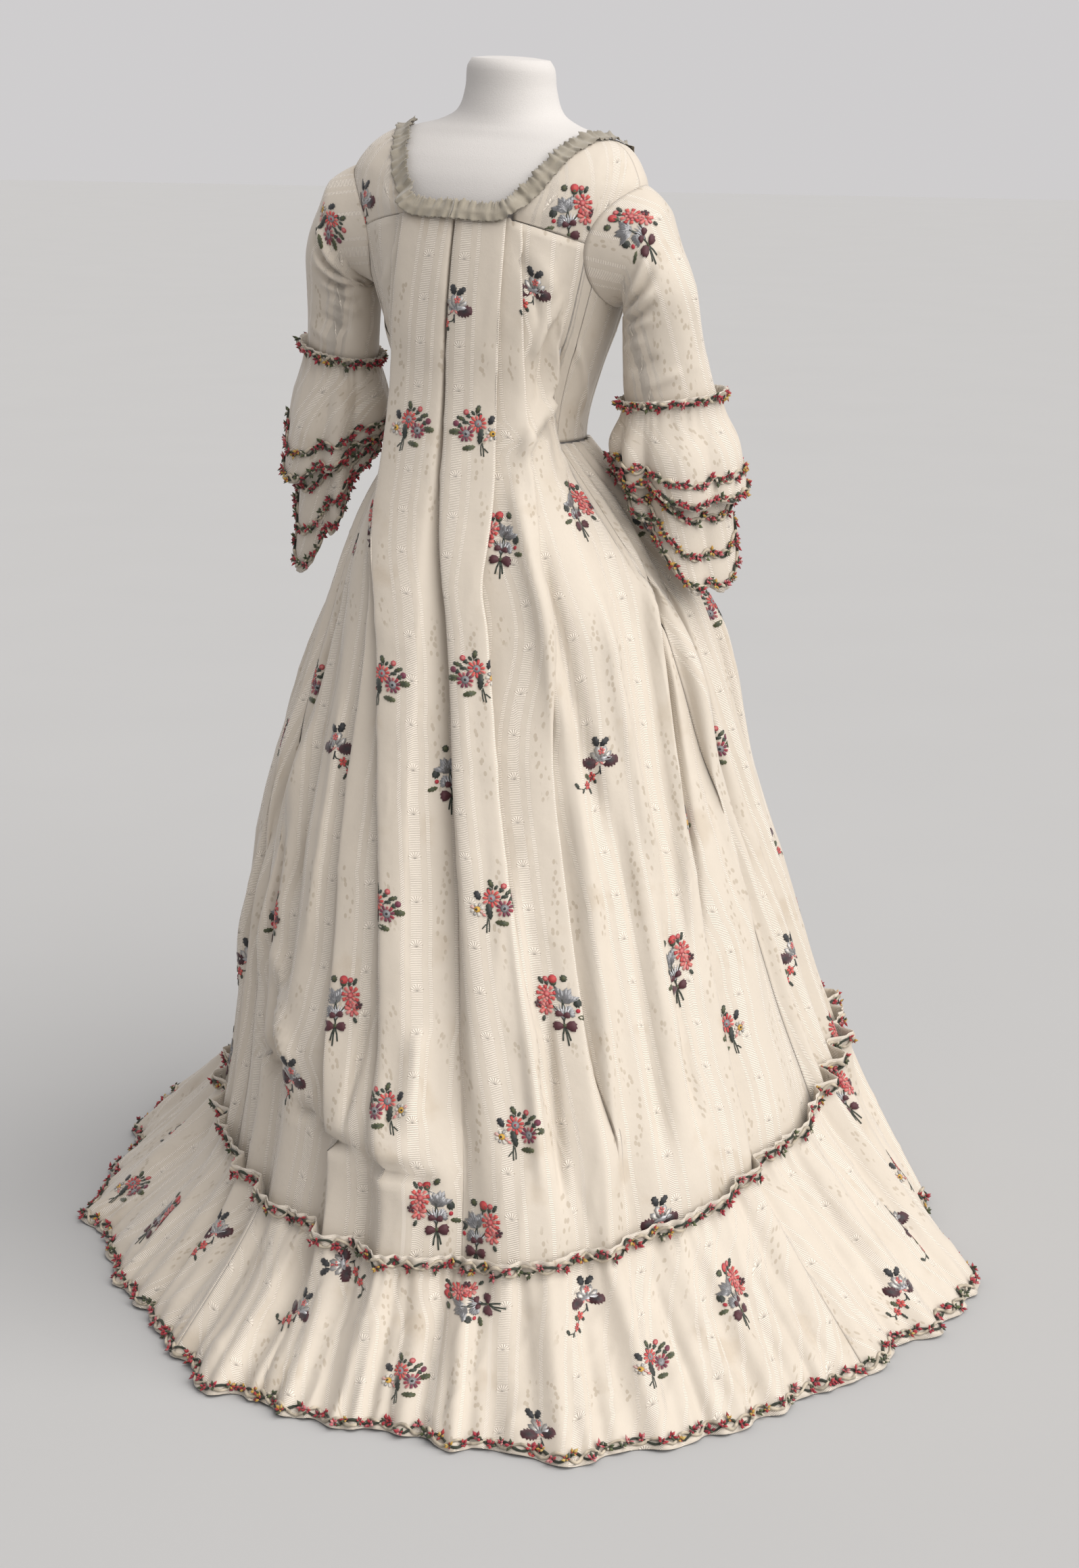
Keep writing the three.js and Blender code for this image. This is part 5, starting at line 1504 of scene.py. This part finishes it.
def tube(path, normals, radius, closed):
    """A cord of six sides along a path, as vertices and faces."""
    tangent = unit(np.gradient(path, axis=0))
    side = unit(np.cross(tangent, normals))
    up = np.cross(side, tangent)
    turns = np.arange(CORD_SIDES) * (360 / CORD_SIDES) * RAD
    ring = np.cos(turns)[None, :, None] * side[:, None] + np.sin(turns)[None, :, None] * up[:, None]
    verts = path[:, None] + ring * radius[:, None, None]
    count = len(path)
    index = np.arange(count * CORD_SIDES).reshape(count, CORD_SIDES)
    start, end = (index, np.roll(index, -1, axis=0)) if closed else (index[:-1], index[1:])
    faces = np.stack([start, end, np.roll(end, -1, axis=1), np.roll(start, -1, axis=1)], axis=-1)
    ends = [] if closed else [index[0].tolist(), index[-1][::-1].tolist()]
    return verts.reshape(-1, 3), faces.reshape(-1, 4).tolist() + ends


def slack(swing, wave):
    """How much longer a winding cord is than its line."""
    return 1 + (swing * 4.2 / wave) ** 2 / 3


def edge_path(cloth, row, swing, wave, out):
    """A line that winds about a row of the cloth: points and normals at even steps."""
    top = int(row)
    lengths = mix(cloth.across[top], cloth.across[min(top + 1, len(cloth.across) - 1)], row - top)
    total = lengths[-1]
    waves = max(1, round(total / wave))
    count = round(total * slack(swing, wave) / CORD_STEP)
    share = np.arange(count) / count if cloth.ring else np.linspace(0, 1, count)
    bend = share * waves * 2 * math.pi
    loops = np.sin(bend + 0.5 * np.sin(bend * 0.37 + 1))
    s = np.interp(share * total, lengths, np.arange(len(lengths)))
    row_step = grid_at(np.gradient(cloth.down, axis=0), s, np.full(count, float(row)))
    t = row + swing * loops * (0.8 + 0.2 * np.sin(bend * 0.21)) / np.maximum(row_step, 0.3)
    t = np.clip(t, 0, len(cloth.points) - 1)
    return cloth.spot(s, t, out + 0.6 * np.cos(bend)), grid_at(cloth.normals, s, t)


TUFT_COLOURS = (
    ((0.34, 0.012, 0.022), (0.45, 0.03, 0.04), (0.30, 0.01, 0.03)),
    ((0.52, 0.12, 0.14), (0.36, 0.015, 0.025), (0.58, 0.25, 0.24)),
    ((0.50, 0.28, 0.035), (0.34, 0.02, 0.02), (0.55, 0.38, 0.10)),
    ((0.20, 0.008, 0.02), (0.42, 0.02, 0.04), (0.05, 0.07, 0.025)),
    ((0.05, 0.07, 0.02), (0.55, 0.48, 0.38), (0.10, 0.12, 0.04)),
)
TUFT_SHARES = (0.3, 0.22, 0.18, 0.15, 0.15)
LEAF_GREEN = (0.05, 0.06, 0.025)


def tufts(centres, normals, seed):
    """Little bows of floss silk, each of six short leaves: vertices, faces and colours."""
    rng = np.random.default_rng(seed)
    spindle = [(0, 0, 0), (0.5, 0.28, 0), (0.5, 0, 0.24), (0.5, -0.28, 0), (0.5, 0, -0.14), (1, 0, 0.08)]
    spindle = np.array(spindle)
    sides = [(0, 2, 1), (0, 3, 2), (0, 4, 3), (0, 1, 4), (5, 1, 2), (5, 2, 3), (5, 3, 4), (5, 4, 1)]
    verts, faces, colours = [], [], []
    for centre, normal in zip(centres, normals):
        normal = normal / np.linalg.norm(normal)
        first = unit(np.cross(normal, rng.normal(size=3)))
        palette = TUFT_COLOURS[rng.choice(len(TUFT_COLOURS), p=TUFT_SHARES)]
        for i in range(TUFT_LEAVES):
            angle = (i * (360 / TUFT_LEAVES) + rng.uniform(-22, 22)) * RAD
            lie = math.cos(angle) * first + math.sin(angle) * np.cross(normal, first)
            along_leaf = unit(lie + normal * rng.uniform(0.15, 0.9))
            across_leaf = unit(np.cross(normal, along_leaf))
            up = np.cross(along_leaf, across_leaf)
            size = rng.uniform(*LEAF_SIZE)
            leaf = spindle[:, :1] * along_leaf + spindle[:, 1:2] * across_leaf + spindle[:, 2:] * up
            base = len(verts)
            verts += (centre + leaf * size).tolist()
            faces += [[base + n for n in side] for side in sides]
            colours += [LEAF_GREEN if i == TUFT_LEAVES - 1 else palette[i % 3]] * len(spindle)
    return verts, faces, colours


# Trimmed lines: the row as a share of the cloth's rows, how far the cord swings and how long its waves are.
TRIMS = {
    "cuff_cloth_upper": ((0.05, 4.8, 30), (0.78, 4.8, 34), (0.96, 4.2, 30)),
    "cuff_cloth_lower": ((0.60, 4.8, 34), (0.80, 4.8, 32), (0.96, 4.2, 30)),
    "hem_flounce_cloth": ((0.05, 6.2, 40), (0.965, 6.0, 42)),
}
TUFT_SPACING = {"cuff": 14, "hem": 19}
CREAM, CORD_GREEN = np.array((0.50, 0.43, 0.33)), np.array((0.020, 0.026, 0.012))


def trimming(name, cloth, lines, spacing, seed):
    """The dark winding cord and the floss tufts sewn along the lines of a piece of cloth."""
    verts, faces, colours = [], [], []
    rng = np.random.default_rng(seed)
    rows = len(cloth.points) - 1
    for share, swing, wave in lines:
        for own_swing, thick, colour in ((-swing, 1.25, CREAM), (swing, 1, CORD_GREEN)):
            path, normals = edge_path(cloth, share * rows, own_swing, wave, CLOTH / 2 + CORD_RADIUS)
            radius = CORD_RADIUS * thick * (1 + 0.25 * rng.uniform(-1, 1, len(path)))
            cord_verts, cord_faces = tube(path, normals, radius, cloth.ring)
            faces += [[len(verts) + n for n in face] for face in cord_faces]
            verts += cord_verts.tolist()
            shades = rng.uniform(0.6, 1.3, len(path))[:, None] * colour
            colours += np.repeat(shades, CORD_SIDES, axis=0).tolist()
        step = spacing / CORD_STEP / slack(swing, wave)
        count = int(len(path) / step)
        chosen = (np.arange(count) + rng.uniform(0.2, 0.8, count)) * step
        chosen = np.clip(chosen, 0, len(path) - 1).astype(int)
        made = tufts(path[chosen] + normals[chosen] * 0.8, normals[chosen], seed + 1)
        faces += [[len(verts) + n for n in face] for face in made[1]]
        verts += made[0]
        colours += made[2]
    mesh = bpy.data.meshes.new(name)
    mesh.from_pydata((np.array(verts) * MM).tolist(), [], faces)
    layer = mesh.color_attributes.new("thread", "FLOAT_COLOR", "POINT")
    layer.data.foreach_set("color", [v for colour in colours for v in (*colour, 1.0)])
    piece = finished(name, mesh, [FLOSS])
    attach(piece, "root")
    return piece


def trimming_lines(name):
    found = [lines for start, lines in TRIMS.items() if name.startswith(start)]
    return found[0] if found else ()


for seed, (name, (cloth, piece, facts)) in enumerate(CLOTHS.items()):
    if name in SPRAYS:
        brocade(f"brocade_{name}", cloth, SPRAYS[name])
    if trimming_lines(name):
        spacing = TUFT_SPACING[name.split("_")[0]]
        trimming(f"trimming_{name}", cloth, trimming_lines(name), spacing, seed)


# ---- Dress form and stand --------------------------------------------------------------------------
def dress_form():
    """The form's smooth jersey skin, closed at the neck's flat top and under its hips."""
    columns = 80
    shoulder, neck_root, neck_top = 1330, 1420, 1476
    spans = ((FORM_BOTTOM, shoulder, 40), (shoulder, neck_root, 30), (neck_root, neck_top, 12))
    heights = np.concatenate([evenly(*span)[:-1] for span in spans] + [[neck_top]])
    angles = evenly(0, 360, columns)[:-1]
    rings = [figure(angles, np.full(columns, z), 0) for z in heights]
    neck = rings[-1].mean(axis=0)
    cap = []
    for share in (0.05, 0.12, 0.4, 0.7):
        cap.append(mix(rings[-1], neck + (0, 0, 3), share) + (0, 0, 1.2 * math.sin(math.pi * share)))
    foot = rings[0].mean(axis=0)
    under = [mix(rings[0], foot, share) for share in (0.7, 0.35, 0.03)]
    points = np.concatenate(under + rings + cap)
    rows = len(points) // columns
    index = np.arange(rows * columns).reshape(rows, columns)
    after = np.roll(index, -1, axis=1)
    faces = np.stack([index[:-1], index[1:], after[1:], after[:-1]], axis=-1).reshape(-1, 4).tolist()
    ends = [index[0].tolist(), index[-1][::-1].tolist()]
    mesh = bpy.data.meshes.new("dress_form_skin")
    mesh.from_pydata((points * MM).tolist(), [], faces + ends)
    piece = finished("dress_form_skin", mesh, [JERSEY])
    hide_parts("dress_form")
    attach(piece, "root")


dress_form()
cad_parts["stand"].data.materials.clear()
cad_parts["stand"].data.materials.append(PAINTED)


# ---- Floor, light and camera -----------------------------------------------------------------------
CAMERA_DISTANCE = 3.5  # from the pole, along the floor
CAMERA_HEIGHT = 1.46
CAMERA_TURN = 25  # degrees from straight behind, towards the wearer's right
CAMERA_DOWN = 14.3
CAMERA_SIDE = 0.0515  # how far the camera looks past the pole
LENS = 64.1


def camera():
    turn = CAMERA_TURN * RAD
    back = Vector((-math.sin(turn), math.cos(turn), 0))
    right = Vector((-math.cos(turn), -math.sin(turn), 0))
    data = bpy.data.cameras.new("camera")
    data.lens = LENS
    data.sensor_width = 36
    piece = bpy.data.objects.new("camera", data)
    bpy.context.scene.collection.objects.link(piece)
    piece.location = CAMERA_DISTANCE * back + CAMERA_SIDE * right + Vector((0, 0, CAMERA_HEIGHT))
    down = CAMERA_DOWN * RAD
    look = -back * math.cos(down) - Vector((0, 0, math.sin(down)))
    piece.rotation_euler = look.to_track_quat("-Z", "Y").to_euler()
    bpy.context.scene.camera = piece


def sun(name, turn, height, soft, strength, colour):
    """Soft light from a direction: turn is from straight behind towards the wearer's left, in degrees."""
    data = bpy.data.lights.new(name, "SUN")
    data.angle = soft * RAD
    data.energy = strength
    data.color = colour
    light = bpy.data.objects.new(name, data)
    bpy.context.scene.collection.objects.link(light)
    flat = math.cos(height * RAD)
    source = Vector((math.sin(turn * RAD) * flat, math.cos(turn * RAD) * flat, math.sin(height * RAD)))
    light.rotation_euler = (-source).to_track_quat("-Z", "Y").to_euler()


def stage():
    shader = Shader("paper_floor", Roughness=0.9)
    place = shader.node("TexCoord").outputs["Object"]
    tone = shader.blend(shader.noise(place, 2.0, 3.0), grey(0.385), grey(0.40))
    shader.feed(shader.surface, {"Base Color": tone})
    bpy.ops.mesh.primitive_plane_add(size=60, location=(0, 0, -0.0005))
    floor = bpy.context.object
    floor.name = "floor"
    floor.data.materials.append(shader.material)
    world = bpy.data.worlds.new("studio")
    world.use_nodes = True
    world.node_tree.nodes["Background"].inputs["Color"].default_value = (0.624, 0.612, 0.618, 1)
    world.node_tree.nodes["Background"].inputs["Strength"].default_value = 1.0
    bpy.context.scene.world = world
    sun("key", -84, 44, 75, 3.7, (1.0, 0.975, 0.94))
    sun("fill", -60, 12, 60, 0.5, (1.0, 0.99, 0.98))
    bpy.context.scene.view_settings.view_transform = "Standard"


stage()
camera()
